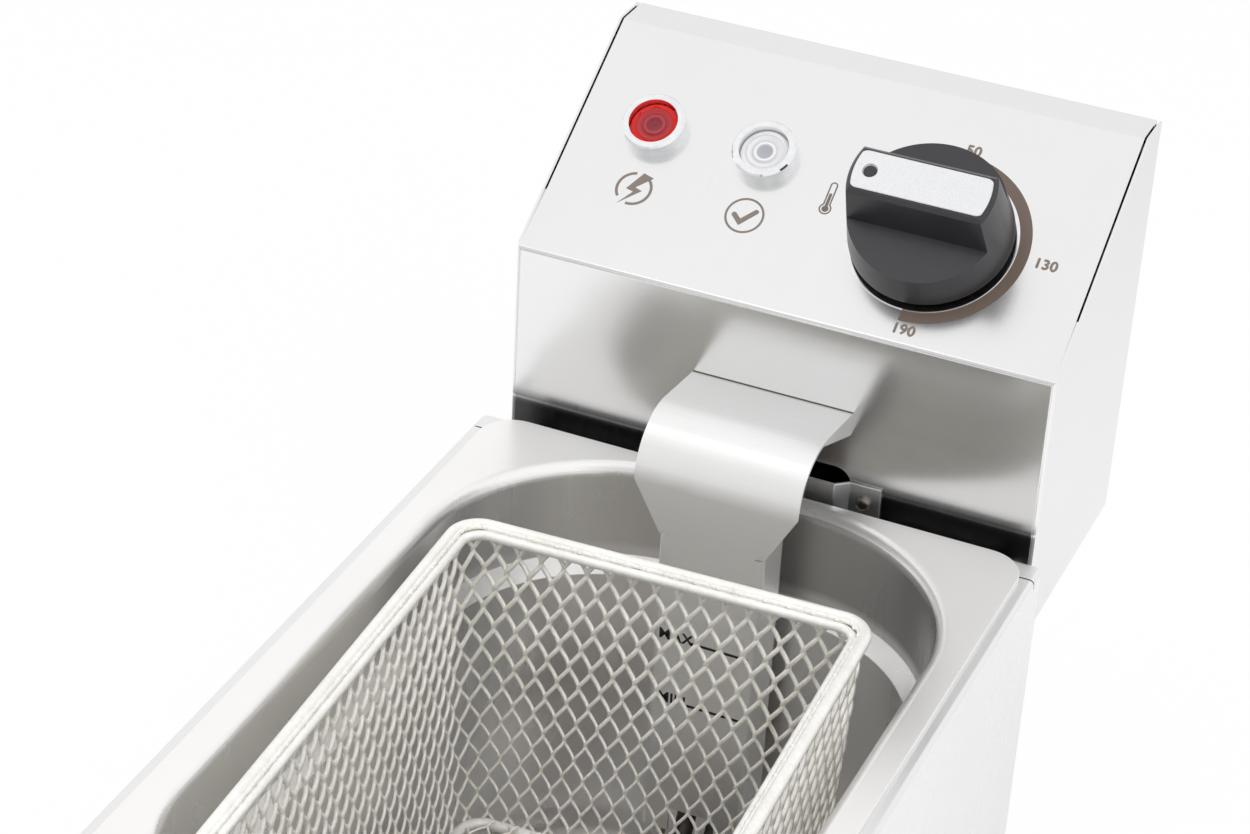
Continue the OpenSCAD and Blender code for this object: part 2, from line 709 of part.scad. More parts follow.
module element_bracket()
    color(steel) at_head() difference() {
        translate([0, 0, bracket_bottom]) linear_extrude(bracket_top - bracket_bottom)
            bent_sheet([
                [39, -bracket_t], [opening_w / 2, -bracket_t],
                [opening_w / 2 - bracket_stand, -bracket_stand - bracket_t / 2],
                [-opening_w / 2 + bracket_stand, -bracket_stand - bracket_t / 2],
                [-opening_w / 2, -bracket_t], [-39, -bracket_t]
            ], [1, 1, 1, 1], -bracket_t);
        for (x = bracket_screw_x) translate([x, 0, bracket_screw_z]) rotate([90, 0, 0])
            cylinder(r = bracket_screw_r, h = 8, center = true);
        for (x = [-1, 1]) translate([x * leg_pitch / 2, -bracket_stand, leg_z]) {
            rotate([90, 0, 0]) cylinder(r = element_r + 0.05, h = 8, center = true);
            translate([0, 0, 5]) cube([2 * element_r + 0.1, 8, 10], center = true);
        }
    }

module bracket_screws()
    color(steel) at_head() for (x = bracket_screw_x) translate([x, -bracket_t, bracket_screw_z])
        rotate([90, 0, 0]) pan_screw(2.6, bracket_screw_r - 0.01, 5);

element_runs = [leg_pitch / 2, leg_pitch / 2 + 2.25 * element_bend_r,
                leg_pitch / 2 + 4.45 * element_bend_r];
element_front = -head_gap - flange_edge_end - flange_end - tank_l + shoulder_w + 20;
element_rear = leg_y - 34;
element_turn_y = element_front + 26;
run_start_y = leg_y - 24;

module element_half()
    translate([0, 0, element_z]) bent_wire([
        [element_runs[0], run_start_y], [element_runs[0], element_turn_y],
        [element_runs[1], element_turn_y], [element_runs[1], element_rear],
        [element_runs[2], element_rear], [element_runs[2], element_front], [0, element_front]
    ], element_bend_r, element_r);

module heating_element() {
    color([0.3, 0.3, 0.31]) at_head() for (x = [-1, 1]) scale([x, 1, 1]) {
        element_half();
        translate([element_runs[0], 0, 0]) rotate([90, 0, 90])
            bent_wire([[24, leg_z], [leg_y, leg_z], [leg_y, element_z], [run_start_y, element_z]],
                      element_bend_r, element_r);
        // ceramic end and terminal pin
        translate([element_runs[0], 24, leg_z]) rotate([-90, 0, 0]) {
            cylinder(r = element_r - 0.7, h = 6);
            cylinder(r = 1.3, h = 16);
        }
    }
}

spacer_spots = [element_rear - 24, element_turn_y + 30];
bulb_x = (element_runs[0] + element_runs[1]) / 2;
bulb_r = 3;
bulb_l = 90;
bulb_start_y = element_rear - 6;

module element_spacers()
    color(steel) at_head() for (y = spacer_spots) difference() {
        translate([0, y, element_z]) cube([2 * element_runs[2] + 16, 1.2, 13], center = true);
        for (x = [-1, 1]) scale([x, 1, 1]) {
            for (run = element_runs) translate([run, y, element_z]) rotate([90, 0, 0])
                cylinder(r = element_r + 0.05, h = 6, center = true);
            translate([bulb_x, y, element_z]) rotate([90, 0, 0])
                cylinder(r = bulb_r + 0.05, h = 6, center = true);
        }
    }

capillary_r = 0.9;
capillary_x = 12;
capillary_y = leg_y - 1;
capillary_low = element_z - 6;

// Bulb lying between two runs of the element, on the side given
module bulb(side)
    color([0.75, 0.6, 0.45]) at_head() translate([side * bulb_x, bulb_start_y, element_z])
        rotate([90, 0, 0]) {
            cylinder(r = bulb_r, h = bulb_l);
            sphere(bulb_r);
            translate([0, 0, bulb_l]) sphere(bulb_r);
        }

// Point behind (out < 0) or in front of the panel, in the head's frame
function panel_point(at, out) = [
    at[0], at[1] * cos(panel_tilt) - out * sin(panel_tilt),
    at[1] * sin(panel_tilt) + out * cos(panel_tilt)
];

function blend(a, b, c, d, t) =
    0.5 * (2 * b + (c - a) * t + (2 * a - 5 * b + 4 * c - d) * t * t
           + (3 * b - a - 3 * c + d) * t * t * t);

function smooth_curve(p, steps) =
    let (last = len(p) - 1)
    concat([for (i = [0:last - 1], k = [0:steps - 1])
        blend(p[max(i - 1, 0)], p[i], p[i + 1], p[min(i + 2, last)], k / steps)], [p[last]]);

// Tube swept along a curve that nowhere runs along X
module swept_tube(curve, r, sides = 8) {
    last = len(curve) - 1;
    rings = [for (i = [0:last])
        let (along = unit(curve[min(i + 1, last)] - curve[max(i - 1, 0)]))
        let (across = unit(cross(along, [1, 0, 0])), up = cross(along, across))
        [for (j = [0:sides - 1]) curve[i] + r * (across * cos(360 * j / sides)
                                                 + up * sin(360 * j / sides))]];
    polyhedron([for (ring = rings) each ring], concat(
        [[for (j = [0:sides - 1]) j]],
        [for (i = [0:last - 1], j = [0:sides - 1])
            [i * sides + j, (i + 1) * sides + j, (i + 1) * sides + (j + 1) % sides,
             i * sides + (j + 1) % sides]],
        [[for (j = [sides - 1:-1:0]) last * sides + j]]));
}

// Thin tube from a fitting in the head, over the tank's rim, down the channel and to its bulb
module capillary(side, inner) {
    x = side * capillary_x;
    color([0.75, 0.6, 0.45]) at_head() swept_tube(smooth_curve(concat(inner, [
        [side * 27, 38, leg_z + 12], [side * 15, 22, leg_z + 2], [x, 8, leg_z + 1],
        [x, -8, leg_z + 1], [x, -24, leg_z], [x, capillary_y + 1, leg_z - 9],
        [x, capillary_y, leg_z - 30], [x, capillary_y, element_z + 30],
        [x, capillary_y - 1, element_z + 8], [x, capillary_y - 6, capillary_low],
        [x, capillary_y - 14, capillary_low], [side * bulb_x, bulb_start_y + 9, element_z - 1],
        [side * bulb_x, bulb_start_y + bulb_r, element_z]
    ]), 3), capillary_r);
}

// ---- Thermostat, limiter, lamps and wiring fittings ----

shaft_r = 3;
shaft_reach = 15.4;
shaft_sink = 15;
shaft_hole_r = 5;
thermostat_screw_x = 14;
thermostat_screw_r = 2;
thermostat_r = 19;
thermostat_depth = 26;
knob_lift = 3;

module thermostat_body()
    color([0.55, 0.5, 0.42]) on_panel(knob_at) translate([0, 0, -sheet_t]) difference() {
        union() {
            mirror([0, 0, 1]) cylinder(r = thermostat_r, h = thermostat_depth);
            translate([0, 0, -thermostat_depth]) mirror([0, 0, 1]) cylinder(r = 9, h = thermostat_tail);
            translate([0, thermostat_r - 2, -14]) cube([14, 12, 10], center = true);
        }
        translate([0, 0, -shaft_sink]) cylinder(r = shaft_r + running_clearance, h = shaft_sink + 1);
        for (x = [-1, 1]) translate([x * thermostat_screw_x, 0, -8])
            cylinder(r = thermostat_screw_r, h = 9);
    }

thermostat_tail = 5;

module thermostat_capillary()
    capillary(1, [panel_point(knob_at, -sheet_t - thermostat_depth - thermostat_tail),
                  panel_point(knob_at, -sheet_t - thermostat_depth - thermostat_tail - 6)]);

module thermostat_screws()
    color(steel) on_panel(knob_at) for (x = [-1, 1]) translate([x * thermostat_screw_x, 0, 0]) {
        cylinder(r = 3.4, h = 1);
        translate([0, 0, -6]) cylinder(r = thermostat_screw_r - 0.01, h = 6);
    }

module thermostat_shaft()
    color(steel) on_panel(knob_at) translate([0, 0, -shaft_sink]) difference() {
        cylinder(r = shaft_r, h = shaft_sink + shaft_reach);
        translate([shaft_r - 1.5, -5, shaft_sink + 2]) cube([5, 10, 20]);
    }

limiter_r = 15;
reset_at = [-48, -24];
reset_neck_r = 5;
reset_r = 3;
reset_travel = 2.5;
gland_at = [52, -68];
gland_neck_r = 7.8;
gland_bore_r = 4;

module limiter_body()
    color([0.35, 0.3, 0.26]) on_back(reset_at[0], reset_at[1]) difference() {
        union() {
            translate([0, 0, -cover_t - 3 - limiter_depth]) cylinder(r = limiter_r, h = limiter_depth);
            translate([0, 0, -cover_t - 3]) cylinder(r = reset_neck_r - 1, h = 1.5);
            translate([-5, -limiter_r - 6, -20]) cube([10, 8, 8]);
        }
        translate([0, 0, -12]) cylinder(r = reset_r + running_clearance, h = 14);
    }

limiter_depth = 22;

module limiter_capillary() {
    back_y = head_depth - cover_t - 3 - limiter_depth;
    capillary(-1, [[reset_at[0], back_y, reset_at[1]], [reset_at[0], back_y - 6, reset_at[1]]]);
}

module reset_bushing()
    color(black_plastic) on_back(reset_at[0], reset_at[1]) difference() {
        union() {
            translate([0, 0, -cover_t - 1.5]) cylinder(r = reset_neck_r - 0.01, h = cover_t + 1.5);
            cylinder(r1 = 8, r2 = 7.2, h = 2.5);
        }
        translate([0, 0, -5]) cylinder(r = reset_r + running_clearance, h = 10);
    }

module reset_nut()
    color(steel) on_back(reset_at[0], reset_at[1]) translate([0, 0, -cover_t - 1.5])
        difference() {
            cylinder(r = 8, h = 1.5, $fn = 6);
            translate([0, 0, -1]) cylinder(r = reset_neck_r, h = 4);
        }

module reset_button()
    color([0.75, 0.1, 0.08]) on_back(reset_at[0], reset_at[1]) {
        translate([0, 0, -8]) cylinder(r = reset_r, h = 8 + 2.5 + reset_travel);
        translate([0, 0, 2.5 + reset_travel]) intersection() {
            cylinder(r = reset_r, h = 1);
            translate([0, 0, -5]) sphere(6);
        }
    }

lamp_neck_r = 7;
lamp_body_r = 6.2;
lamp_body_l = 26;
lens_seat = 1.6;

module lamp_bezel(at)
    color([0.92, 0.92, 0.93]) on_panel(at) {
        rotate_extrude() difference() {
            translate([lamp_neck_r - 1, 0]) square([bezel_r - lamp_neck_r + 1, bezel_h]);
            translate([bezel_bore_r - 8, lens_seat]) square([8, bezel_h]);
            translate([bezel_r, bezel_h]) rotate(45) square(0.7, center = true);
        }
        translate([0, 0, -9]) difference() {
            cylinder(r = lamp_neck_r - 0.05, h = 9);
            translate([0, 0, -1]) cylinder(r = lamp_neck_r - 1, h = 11);
        }
    }

module lamp_lens(at, tint)
    color(tint) on_panel(at) translate([0, 0, lens_seat]) difference() {
        cylinder(r = bezel_bore_r - 0.03, h = 1.4);
        translate([0, 0, 1]) difference() {
            cylinder(r = 5.4, h = 1);
            translate([0, 0, -1]) cylinder(r = 3.6, h = 3);
        }
    }

module lamp_body(at)
    color([0.92, 0.9, 0.84]) on_panel(at) translate([0, 0, -lamp_body_l]) {
        cylinder(r = lamp_neck_r - 1.03, h = lamp_body_l - 1);
        for (x = [-1, 1]) translate([2.6 * x, 0, -4]) cube([0.8, 4, 8], center = true);
    }

module lamp_nut(at)
    color([0.85, 0.85, 0.85]) on_panel(at) translate([0, 0, -sheet_t - 2.5]) difference() {
        cylinder(r = 9.5, h = 2.5, $fn = 6);
        translate([0, 0, -1]) cylinder(r = lamp_neck_r - 0.04, h = 5);
    }

module terminal_block() {
    ways = 5;
    pitch = 9;
    color([0.93, 0.92, 0.88]) at_head() translate([26, 52, head_bottom + sheet_t]) difference() {
        translate([0, -9, 0]) cube([ways * pitch, 18, 13]);
        for (i = [0:ways - 1], k = [-1, 1]) translate([(i + 0.5) * pitch, 5 * k, 5])
            cylinder(r = 2, h = 10);
        for (i = [0:ways - 1]) translate([(i + 0.5) * pitch, 0, 5]) rotate([90, 0, 0])
            cylinder(r = 2.2, h = 30, center = true);
        for (i = [1:ways - 1]) translate([i * pitch - 0.6, -10, 10]) cube([1.2, 20, 5]);
    }
}

module cable_gland()
    color(black_plastic) on_back(gland_at[0], gland_at[1]) difference() {
        union() {
            translate([0, 0, -11]) cylinder(r = gland_neck_r - 0.01, h = 11);
            cylinder(r = 12, h = 5, $fn = 6);
            translate([0, 0, 5]) cylinder(r = 10, h = 2);
            translate([0, 0, 7]) cylinder(r = 11, h = 8, $fn = 12);
            translate([0, 0, 15]) cylinder(r1 = 9.5, r2 = 6.5, h = 5);
        }
        translate([0, 0, -12]) cylinder(r = gland_bore_r, h = 40);
    }

module gland_nut()
    color(black_plastic) on_back(gland_at[0], gland_at[1]) translate([0, 0, -cover_t - 4])
        difference() {
            cylinder(r = 12, h = 4, $fn = 6);
            translate([0, 0, -1]) cylinder(r = gland_neck_r, h = 6);
        }

// ---- Knob ----

skirt_h = 9;
knob_top = knob_h - knob_lift;
knob_top_r = knob_r - 3.2;
grip_edge = 1.2;
step_in_z = 16.5 - knob_lift;
step_out_z = 13 - knob_lift;
insert_w = grip_w - 2 * grip_edge - 1;
insert_l = 2 * knob_top_r - 2;
insert_corner_r = 3;
insert_t = 1;
insert_sink = 0.6;
disc_t = 0.6;
disc_r = knob_r + 1;
disc_inner_r = knob_r - 7;

module insert_outline(gap = 0)
    intersection() {
        circle(insert_l / 2 - gap);
        round_rect(insert_l - 2 * gap, insert_w - 2 * gap, insert_corner_r - gap);
    }

module knob_body()
    color(black_plastic) on_panel(knob_at) translate([0, 0, knob_lift]) difference() {
        rotate_extrude() polygon([
            [0, 0], [knob_r, 0], [knob_r, 1.2], [knob_r - 0.8, skirt_h],
            [knob_top_r + 0.4, knob_top - 1.2], [knob_top_r - 0.7, knob_top], [0, knob_top]
        ]);
        // finger cuts: a lightly sloping step and a steep wall on each side of the grip bar
        for (k = [0, 1]) rotate([0, 0, 180 * k]) rotate([90, 0, 90])
            linear_extrude(3 * knob_r, center = true) polygon([
                [grip_w / 2 - grip_edge, knob_top + 5], [grip_w / 2 - grip_edge, knob_top],
                [grip_w / 2, knob_top - grip_edge], [grip_w / 2 + 1, step_in_z],
                [knob_r + 8, step_out_z], [knob_r + 8, knob_top + 5]
            ]);
        translate([0, 0, knob_top - insert_sink]) linear_extrude(2) insert_outline();
        // hub socket for the flatted shaft
        translate([0, 0, -1]) difference() {
            cylinder(r = shaft_r, h = shaft_reach + 3 - knob_lift);
            translate([shaft_r - 1.5, -5, 3]) cube([5, 10, 30]);
        }
        // hollow under the skirt
        translate([0, 0, -1]) difference() {
            cylinder(r = knob_r - 2, h = skirt_h - 1);
            cylinder(r = 6, h = 30);
        }
    }

module knob_insert()
    color([0.9, 0.9, 0.9]) on_panel(knob_at) translate([0, 0, knob_h - insert_sink])
        difference() {
            linear_extrude(insert_t) insert_outline(0.05);
            translate([-insert_l * 0.38, 0, 0.3]) cylinder(r = 2.3, h = 4);
        }

module knob_disc()
    color([0.85, 0.85, 0.85]) on_panel(knob_at) difference() {
        cylinder(r = disc_r, h = disc_t);
        translate([0, 0, -1]) cylinder(r = disc_inner_r, h = 3);
    }

// ---- Basket ----

module in_basket()
    translate([basket_mid_x, basket_mid_y, 0]) rotate([0, 0, basket_turn]) children();

rim_mid_w = basket_w - 2 * rim_wire_r;
rim_mid_l = basket_l - 2 * rim_wire_r;

function rectangle(w, l) = [[w / 2, -l / 2], [w / 2, l / 2], [-w / 2, l / 2], [-w / 2, -l / 2]];

module basket_rim()
    color(tinned_wire) in_basket() translate([0, 0, rim_z])
        bent_wire(rectangle(rim_mid_w, rim_mid_l), rim_corner_r, rim_wire_r, true);

inner_drop = 1.4;
inner_inset = sqrt(pow(rim_wire_r + inner_wire_r, 2) - pow(inner_drop, 2)) + 0.02;

module basket_inner_rim()
    color(tinned_wire) in_basket() translate([0, 0, rim_z - inner_drop])
        bent_wire(rectangle(rim_mid_w - 2 * inner_inset, rim_mid_l - 2 * inner_inset),
                  rim_corner_r - inner_inset + 1, inner_wire_r, true);

frame_w = rim_mid_w - 2 * basket_taper;
frame_l = rim_mid_l - 2 * basket_taper;
frame_corner_r = max(rim_wire_r + 1, 1.6 * (rim_corner_r - basket_taper / 2));
frame_bars = 3;
bar_lift = rim_wire_r - inner_wire_r;
floor_inset = 1;

module basket_frame()
    color(tinned_wire) in_basket() translate([0, 0, frame_z]) {
        bent_wire(rectangle(frame_w, frame_l), frame_corner_r, rim_wire_r, true);
        for (i = [1:frame_bars]) translate([0, (i / (frame_bars + 1) - 0.5) * frame_l, 0])
            rod([-frame_w / 2, 0, bar_lift], [frame_w / 2, 0, bar_lift], inner_wire_r);
    }

// Diamond mesh that fills a width and a height: a strip outline less its openings
module diamond_field(w, h, cell_w, cell_h, wire) {
    columns = max(1, round(w / cell_w));
    rows = max(1, round(h / cell_h));
    cw = w / columns;
    ch = h / rows;
    shrink = wire / 2 * norm([1 / cw, 1 / ch]) * 2;
    difference() {
        square([w, h], center = true);
        for (i = [0:2 * columns], j = [0:2 * rows])
            if ((i + j) % 2 == 1)
                intersection() {
                    translate([(i / 2) * cw - w / 2, (j / 2) * ch - h / 2])
                        polygon([for (p = [[cw / 2, 0], [0, ch / 2], [-cw / 2, 0], [0, -ch / 2]])
                            p * (1 - shrink)]);
                    square([w - wire, h - wire], center = true);
                }
    }
}

wall_lean = atan2(basket_taper, basket_depth);
corner_cut = rim_corner_r + basket_taper / 2;
corner_gap = mesh_wire / 2 * sin(45) + passing_gap / 4;
corner_top = rim_z - inner_drop - inner_wire_r;
mesh_top = rim_z - rim_wire_r;
mesh_low = frame_z + rim_wire_r;
mesh_rise = (mesh_top - mesh_low) / cos(wall_lean);

// Wall k of the basket: 0 right, 1 rear, 2 left, 3 front
module wall_mesh(k) {
    across = k % 2 == 0 ? rim_mid_l : rim_mid_w;
    out = k % 2 == 0 ? rim_mid_w : rim_mid_l;
    color(tinned_wire) in_basket() rotate([0, 0, 90 * k])
        translate([(out - basket_taper) / 2, 0, (mesh_top + mesh_low) / 2])
            rotate([90, 0, 90]) rotate([wall_lean, 0, 0])
                linear_extrude(mesh_wire, center = true)
                    diamond_field(across - 2 * corner_cut, mesh_rise, mesh_w, mesh_h, mesh_wire);
}

// How far a wall has leaned in at height z
function lean_in(z) = basket_taper * (rim_z - z) / basket_depth;

// Narrow panels of mesh that close the four corners between the walls
module corner_meshes() {
    top_w = (corner_cut - lean_in(corner_top)) * sqrt(2) - 2 * corner_gap;
    low_w = (corner_cut - lean_in(mesh_low)) * sqrt(2) - 2 * corner_gap;
    mid_z = (corner_top + mesh_low) / 2;
    inset = (corner_cut + lean_in(mid_z)) / 2;
    lean = atan2(basket_taper / sqrt(2), basket_depth);
    rise = (corner_top - mesh_low) / cos(lean);
    color(tinned_wire) in_basket() for (x = [-1, 1], y = [-1, 1])
        translate([x * (rim_mid_w / 2 - inset), y * (rim_mid_l / 2 - inset), mid_z])
            rotate([0, 0, atan2(y, x)]) rotate([90, 0, 90]) rotate([lean, 0, 0])
                linear_extrude(mesh_wire, center = true) {
                    intersection() {
                        tapered_strip(low_w, top_w, rise);
                        diamond_field(top_w, rise, mesh_w, mesh_h, mesh_wire);
                    }
                    difference() {
                        tapered_strip(low_w, top_w, rise);
                        tapered_strip(max(mesh_wire / 4, low_w - 2 * mesh_wire),
                                      top_w - 2 * mesh_wire, rise - 2 * mesh_wire);
                    }
                }
}

module tapered_strip(low_w, top_w, h)
    polygon([[-low_w / 2, -h / 2], [low_w / 2, -h / 2], [top_w / 2, h / 2], [-top_w / 2, h / 2]]);

module floor_mesh() {
    w = frame_w - 2 * floor_inset;
    l = frame_l - 2 * floor_inset;
    r = frame_corner_r + floor_inset;
    color(tinned_wire) in_basket() translate([0, 0, mesh_low]) linear_extrude(mesh_wire) {
        intersection() {
            round_rect(w, l, r);
            diamond_field(w, l, mesh_w, mesh_h, mesh_wire);
        }
        difference() {
            round_rect(w, l, r);
            round_rect(w - 2 * mesh_wire, l - 2 * mesh_wire, r - mesh_wire);
        }
    }
}

// ---- Basket hook and handle ----

hook_t = 1.5;
hook_w = 46;
hook_lip = 9;
hook_lip_gap = 2.4;
ear_t = 2;
ear_inner_x = 19;
ear_r = 6;
pivot_forward = 7.5;
pivot_y = -basket_l / 2 - pivot_forward;
pivot_z = rim_z + 9;
leg_x = 12;
handle_bend_r = 5;
grip_half_w = 18;
grip_r = 8;
leg_sink = 60;

module basket_hook() {
    front_y = -basket_l / 2;
    seat_z = flange_top;
    lip_y = -casing_l / 2 - basket_mid_y - hook_lip_gap - hook_t;
    color(steel) in_basket() {
        // rolled over the rim wire, down its front, and out over the tank's flange
        side_view(hook_w) {
            translate([-rim_mid_l / 2, rim_z]) intersection() {
                difference() {
                    circle(rim_wire_r + hook_t);
                    circle(rim_wire_r + 0.02);
                }
                polygon([[-10, 0], [0, 0], [10, 1.5], [10, 10], [-10, 10]]);
            }
            polygon(sheet_outline([
                [front_y - hook_t, rim_z], [front_y - hook_t, seat_z + hook_t],
                [lip_y, seat_z + hook_t], [lip_y, seat_z + hook_t - hook_lip]
            ], [0.5, 1.5], hook_t));
        }
        for (x = [-1, 1]) translate([x * (ear_inner_x + ear_t / 2), 0, 0]) side_view(ear_t)
            difference() {
                union() {
                    translate([pivot_y, pivot_z]) circle(ear_r);
                    translate([pivot_y - ear_r, seat_z + hook_t])
                        square([2 * ear_r, pivot_z - seat_z - hook_t]);
                }
                translate([pivot_y, pivot_z]) circle(handle_wire_r + running_clearance);
                translate([-rim_mid_l / 2, rim_z]) circle(rim_wire_r + hook_t);
            }
    }
}

module in_handle()
    in_basket() translate([0, pivot_y, pivot_z]) rotate([180 - handle_slope, 0, 0]) children();

module handle_wires()
    color(tinned_wire) in_handle() for (x = [-1, 1]) scale([x, 1, 1])
        bent_wire([[ear_inner_x + ear_t + 2, 0], [leg_x, 0], [leg_x, handle_l - grip_l + leg_sink]],
                  handle_bend_r, handle_wire_r);

module handle_grip()
    color(black_plastic) in_handle() difference() {
        hull() for (x = [-1, 1], y = [handle_l - grip_l + grip_r, handle_l - grip_r])
            translate([x * (grip_half_w - grip_r), y, 0]) sphere(grip_r, $fn = 24);
        for (x = [-1, 1]) translate([x * leg_x, handle_l - grip_l - 1, 0]) rotate([-90, 0, 0])
            cylinder(r = handle_wire_r, h = leg_sink + 1);
    }

casing_shell();
base_plate();
base_screws();
foot(foot_spots[0]);  // foot_front_left
foot(foot_spots[1]);  // foot_front_right
foot(foot_spots[2]);  // foot_rear_left
foot(foot_spots[3]);  // foot_rear_right
foot_screws();
head_hanger();
hanger_rivets();
tank();
head_shell();
head_back_cover();
head_bottom_plate();
cover_screws();
head_hook();
guard_plate();
element_bracket();
bracket_screws();
heating_element();
element_spacers();
thermostat_body();
thermostat_screws();
thermostat_capillary();
bulb(1);  // thermostat_bulb
limiter_body();
limiter_capillary();
bulb(-1);  // limiter_bulb
reset_bushing();
reset_nut();
reset_button();
lamp_bezel(mains_lamp_at);  // mains_lamp_bezel
lamp_lens(mains_lamp_at, [0.8, 0.1, 0.08]);  // mains_lamp_lens
lamp_body(mains_lamp_at);  // mains_lamp_body
lamp_nut(mains_lamp_at);  // mains_lamp_nut
lamp_bezel(heat_lamp_at);  // heat_lamp_bezel
lamp_lens(heat_lamp_at, [0.9, 0.9, 0.92]);  // heat_lamp_lens
lamp_body(heat_lamp_at);  // heat_lamp_body
lamp_nut(heat_lamp_at);  // heat_lamp_nut
terminal_block();
cable_gland();
gland_nut();
thermostat_shaft();
knob_body();
knob_insert();
knob_disc();
basket_rim();
basket_inner_rim();
basket_frame();
wall_mesh(0);  // mesh_right
wall_mesh(1);  // mesh_rear
wall_mesh(2);  // mesh_left
wall_mesh(3);  // mesh_front
corner_meshes();  // mesh_corners
floor_mesh();  // mesh_floor
basket_hook();
handle_wires();
handle_grip();
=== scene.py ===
import math

import bmesh
import bpy
from mathutils import Matrix, Vector


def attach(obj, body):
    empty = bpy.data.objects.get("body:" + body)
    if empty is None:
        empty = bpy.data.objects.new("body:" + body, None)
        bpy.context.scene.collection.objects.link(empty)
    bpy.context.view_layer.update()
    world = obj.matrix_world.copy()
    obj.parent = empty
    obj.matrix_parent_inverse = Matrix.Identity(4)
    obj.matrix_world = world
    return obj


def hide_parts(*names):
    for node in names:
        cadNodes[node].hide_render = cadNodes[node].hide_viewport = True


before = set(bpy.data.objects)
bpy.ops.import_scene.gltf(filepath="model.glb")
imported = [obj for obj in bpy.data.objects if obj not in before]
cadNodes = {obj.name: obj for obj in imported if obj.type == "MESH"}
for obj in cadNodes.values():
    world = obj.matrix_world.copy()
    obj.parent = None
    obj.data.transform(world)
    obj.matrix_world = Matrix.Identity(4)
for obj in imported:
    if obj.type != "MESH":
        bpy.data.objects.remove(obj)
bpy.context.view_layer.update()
scene = bpy.context.scene
mm = 0.001
print("frame loaded:", len(cadNodes), "nodes")

# camera

cameraLook = {
    "place": (0.29573, -0.69498, 0.73797),
    "right": (0.912811, 0.405358, 0.049613),
    "up": (-0.248860, 0.455801, 0.854584),
    "lens": 95.44,
    "sensor": 36.0,
    "clip": (0.05, 30),
}


def placeCamera(look):
    camera = bpy.data.objects.new("fryerCamera", bpy.data.cameras.new("fryerCamera"))
    scene.collection.objects.link(camera)
    right, up = Vector(look["right"]).normalized(), Vector(look["up"]).normalized()
    turn = Matrix((right, up, right.cross(up))).transposed().to_4x4()
    camera.matrix_world = Matrix.Translation(look["place"]) @ turn
    camera.data.lens, camera.data.sensor_width = look["lens"], look["sensor"]
    camera.data.clip_start, camera.data.clip_end = look["clip"]
    scene.camera = camera


placeCamera(cameraLook)

# node helpers, used by the materials and by the geometry trees


def setInputs(tree, node, inputs):
    # a socket is linked in, a plain value is set on the node's own socket
    for key, value in inputs.items():
        if isinstance(value, bpy.types.NodeSocket):
            tree.links.new(value, node.inputs[key])
        else:
            node.inputs[key].default_value = value


def addNode(tree, kind, inputs=None, **settings):
    node = tree.nodes.new(kind)
    for name, value in settings.items():
        setattr(node, name, value)
    setInputs(tree, node, inputs or {})
    return node


def geometryOf(tree, kind, inputs=None, **settings):
    return addNode(tree, "GeometryNode" + kind, inputs, **settings).outputs[0]


def mathOf(tree, operation, *values):
    node = addNode(tree, "ShaderNodeMath", dict(enumerate(values)), operation=operation)
    return node.outputs[0]


def plus(tree, total, *others):
    for value in others:
        total = mathOf(tree, "ADD", total, value)
    return total


def times(tree, total, *others):
    for value in others:
        total = mathOf(tree, "MULTIPLY", total, value)
    return total


def minus(tree, a, b):
    return mathOf(tree, "SUBTRACT", a, b)


def divided(tree, a, b):
    return mathOf(tree, "DIVIDE", a, b)


def vectorOf(tree, operation, *values):
    node = addNode(tree, "ShaderNodeVectorMath", dict(enumerate(values)), operation=operation)
    return node.outputs["Value" if operation in ("DOT_PRODUCT", "LENGTH") else "Vector"]


def startMaterial(name):
    material = bpy.data.materials.new(name)
    material.use_nodes = True
    tree = material.node_tree
    shader = tree.nodes["Principled BSDF"]
    place = addNode(tree, "ShaderNodeTexCoord").outputs["Object"]
    return material, tree, shader, place


def noiseAt(tree, place, scale, detail=4.0, roughness=0.6):
    where = addNode(tree, "ShaderNodeMapping", {"Vector": place, "Scale": scale})
    noise = addNode(tree, "ShaderNodeTexNoise", {
        "Vector": where.outputs[0], "Scale": 1.0, "Detail": detail, "Roughness": roughness})
    return noise.outputs[0]


def spread(tree, value, low, high, fromLow=0.3, fromHigh=0.7):
    return addNode(tree, "ShaderNodeMapRange", {
        "Value": value, "From Min": fromLow, "From Max": fromHigh,
        "To Min": low, "To Max": high}).outputs[0]


def mixColour(tree, share, a, b):
    return addNode(tree, "ShaderNodeMix", {0: share, 6: a, 7: b}, data_type="RGBA").outputs[2]


def axesOf(tree, vector):
    return addNode(tree, "ShaderNodeSeparateXYZ", {0: vector}).outputs


def joinAxes(tree, x=0.0, y=0.0, z=0.0):
    return addNode(tree, "ShaderNodeCombineXYZ", {0: x, 1: y, 2: z}).outputs[0]


def shadeOf(tree, colour, tone):
    # a colour darkened by one tone, a number or a socket
    level = joinAxes(tree, tone, tone, tone) if isinstance(tone, bpy.types.NodeSocket) \
        else (tone,) * 3
    return vectorOf(tree, "MULTIPLY", colour, level)


def setRamp(ramp, stops):
    # stops are positions and colours, from the lowest to the highest
    elements = ramp.color_ramp.elements
    elements[0].position, elements[0].color = stops[0]
    elements[1].position, elements[1].color = stops[-1]
    for position, colour in stops[1:-1]:
        elements.new(position).color = colour


def bumpTo(tree, shader, height, strength, distance):
    bump = addNode(tree, "ShaderNodeBump", {
        "Height": height, "Strength": strength, "Distance": distance})
    setInputs(tree, shader, {"Normal": bump.outputs[0]})


def rgb(r, g, b):
    return (r, g, b, 1.0)


# materials

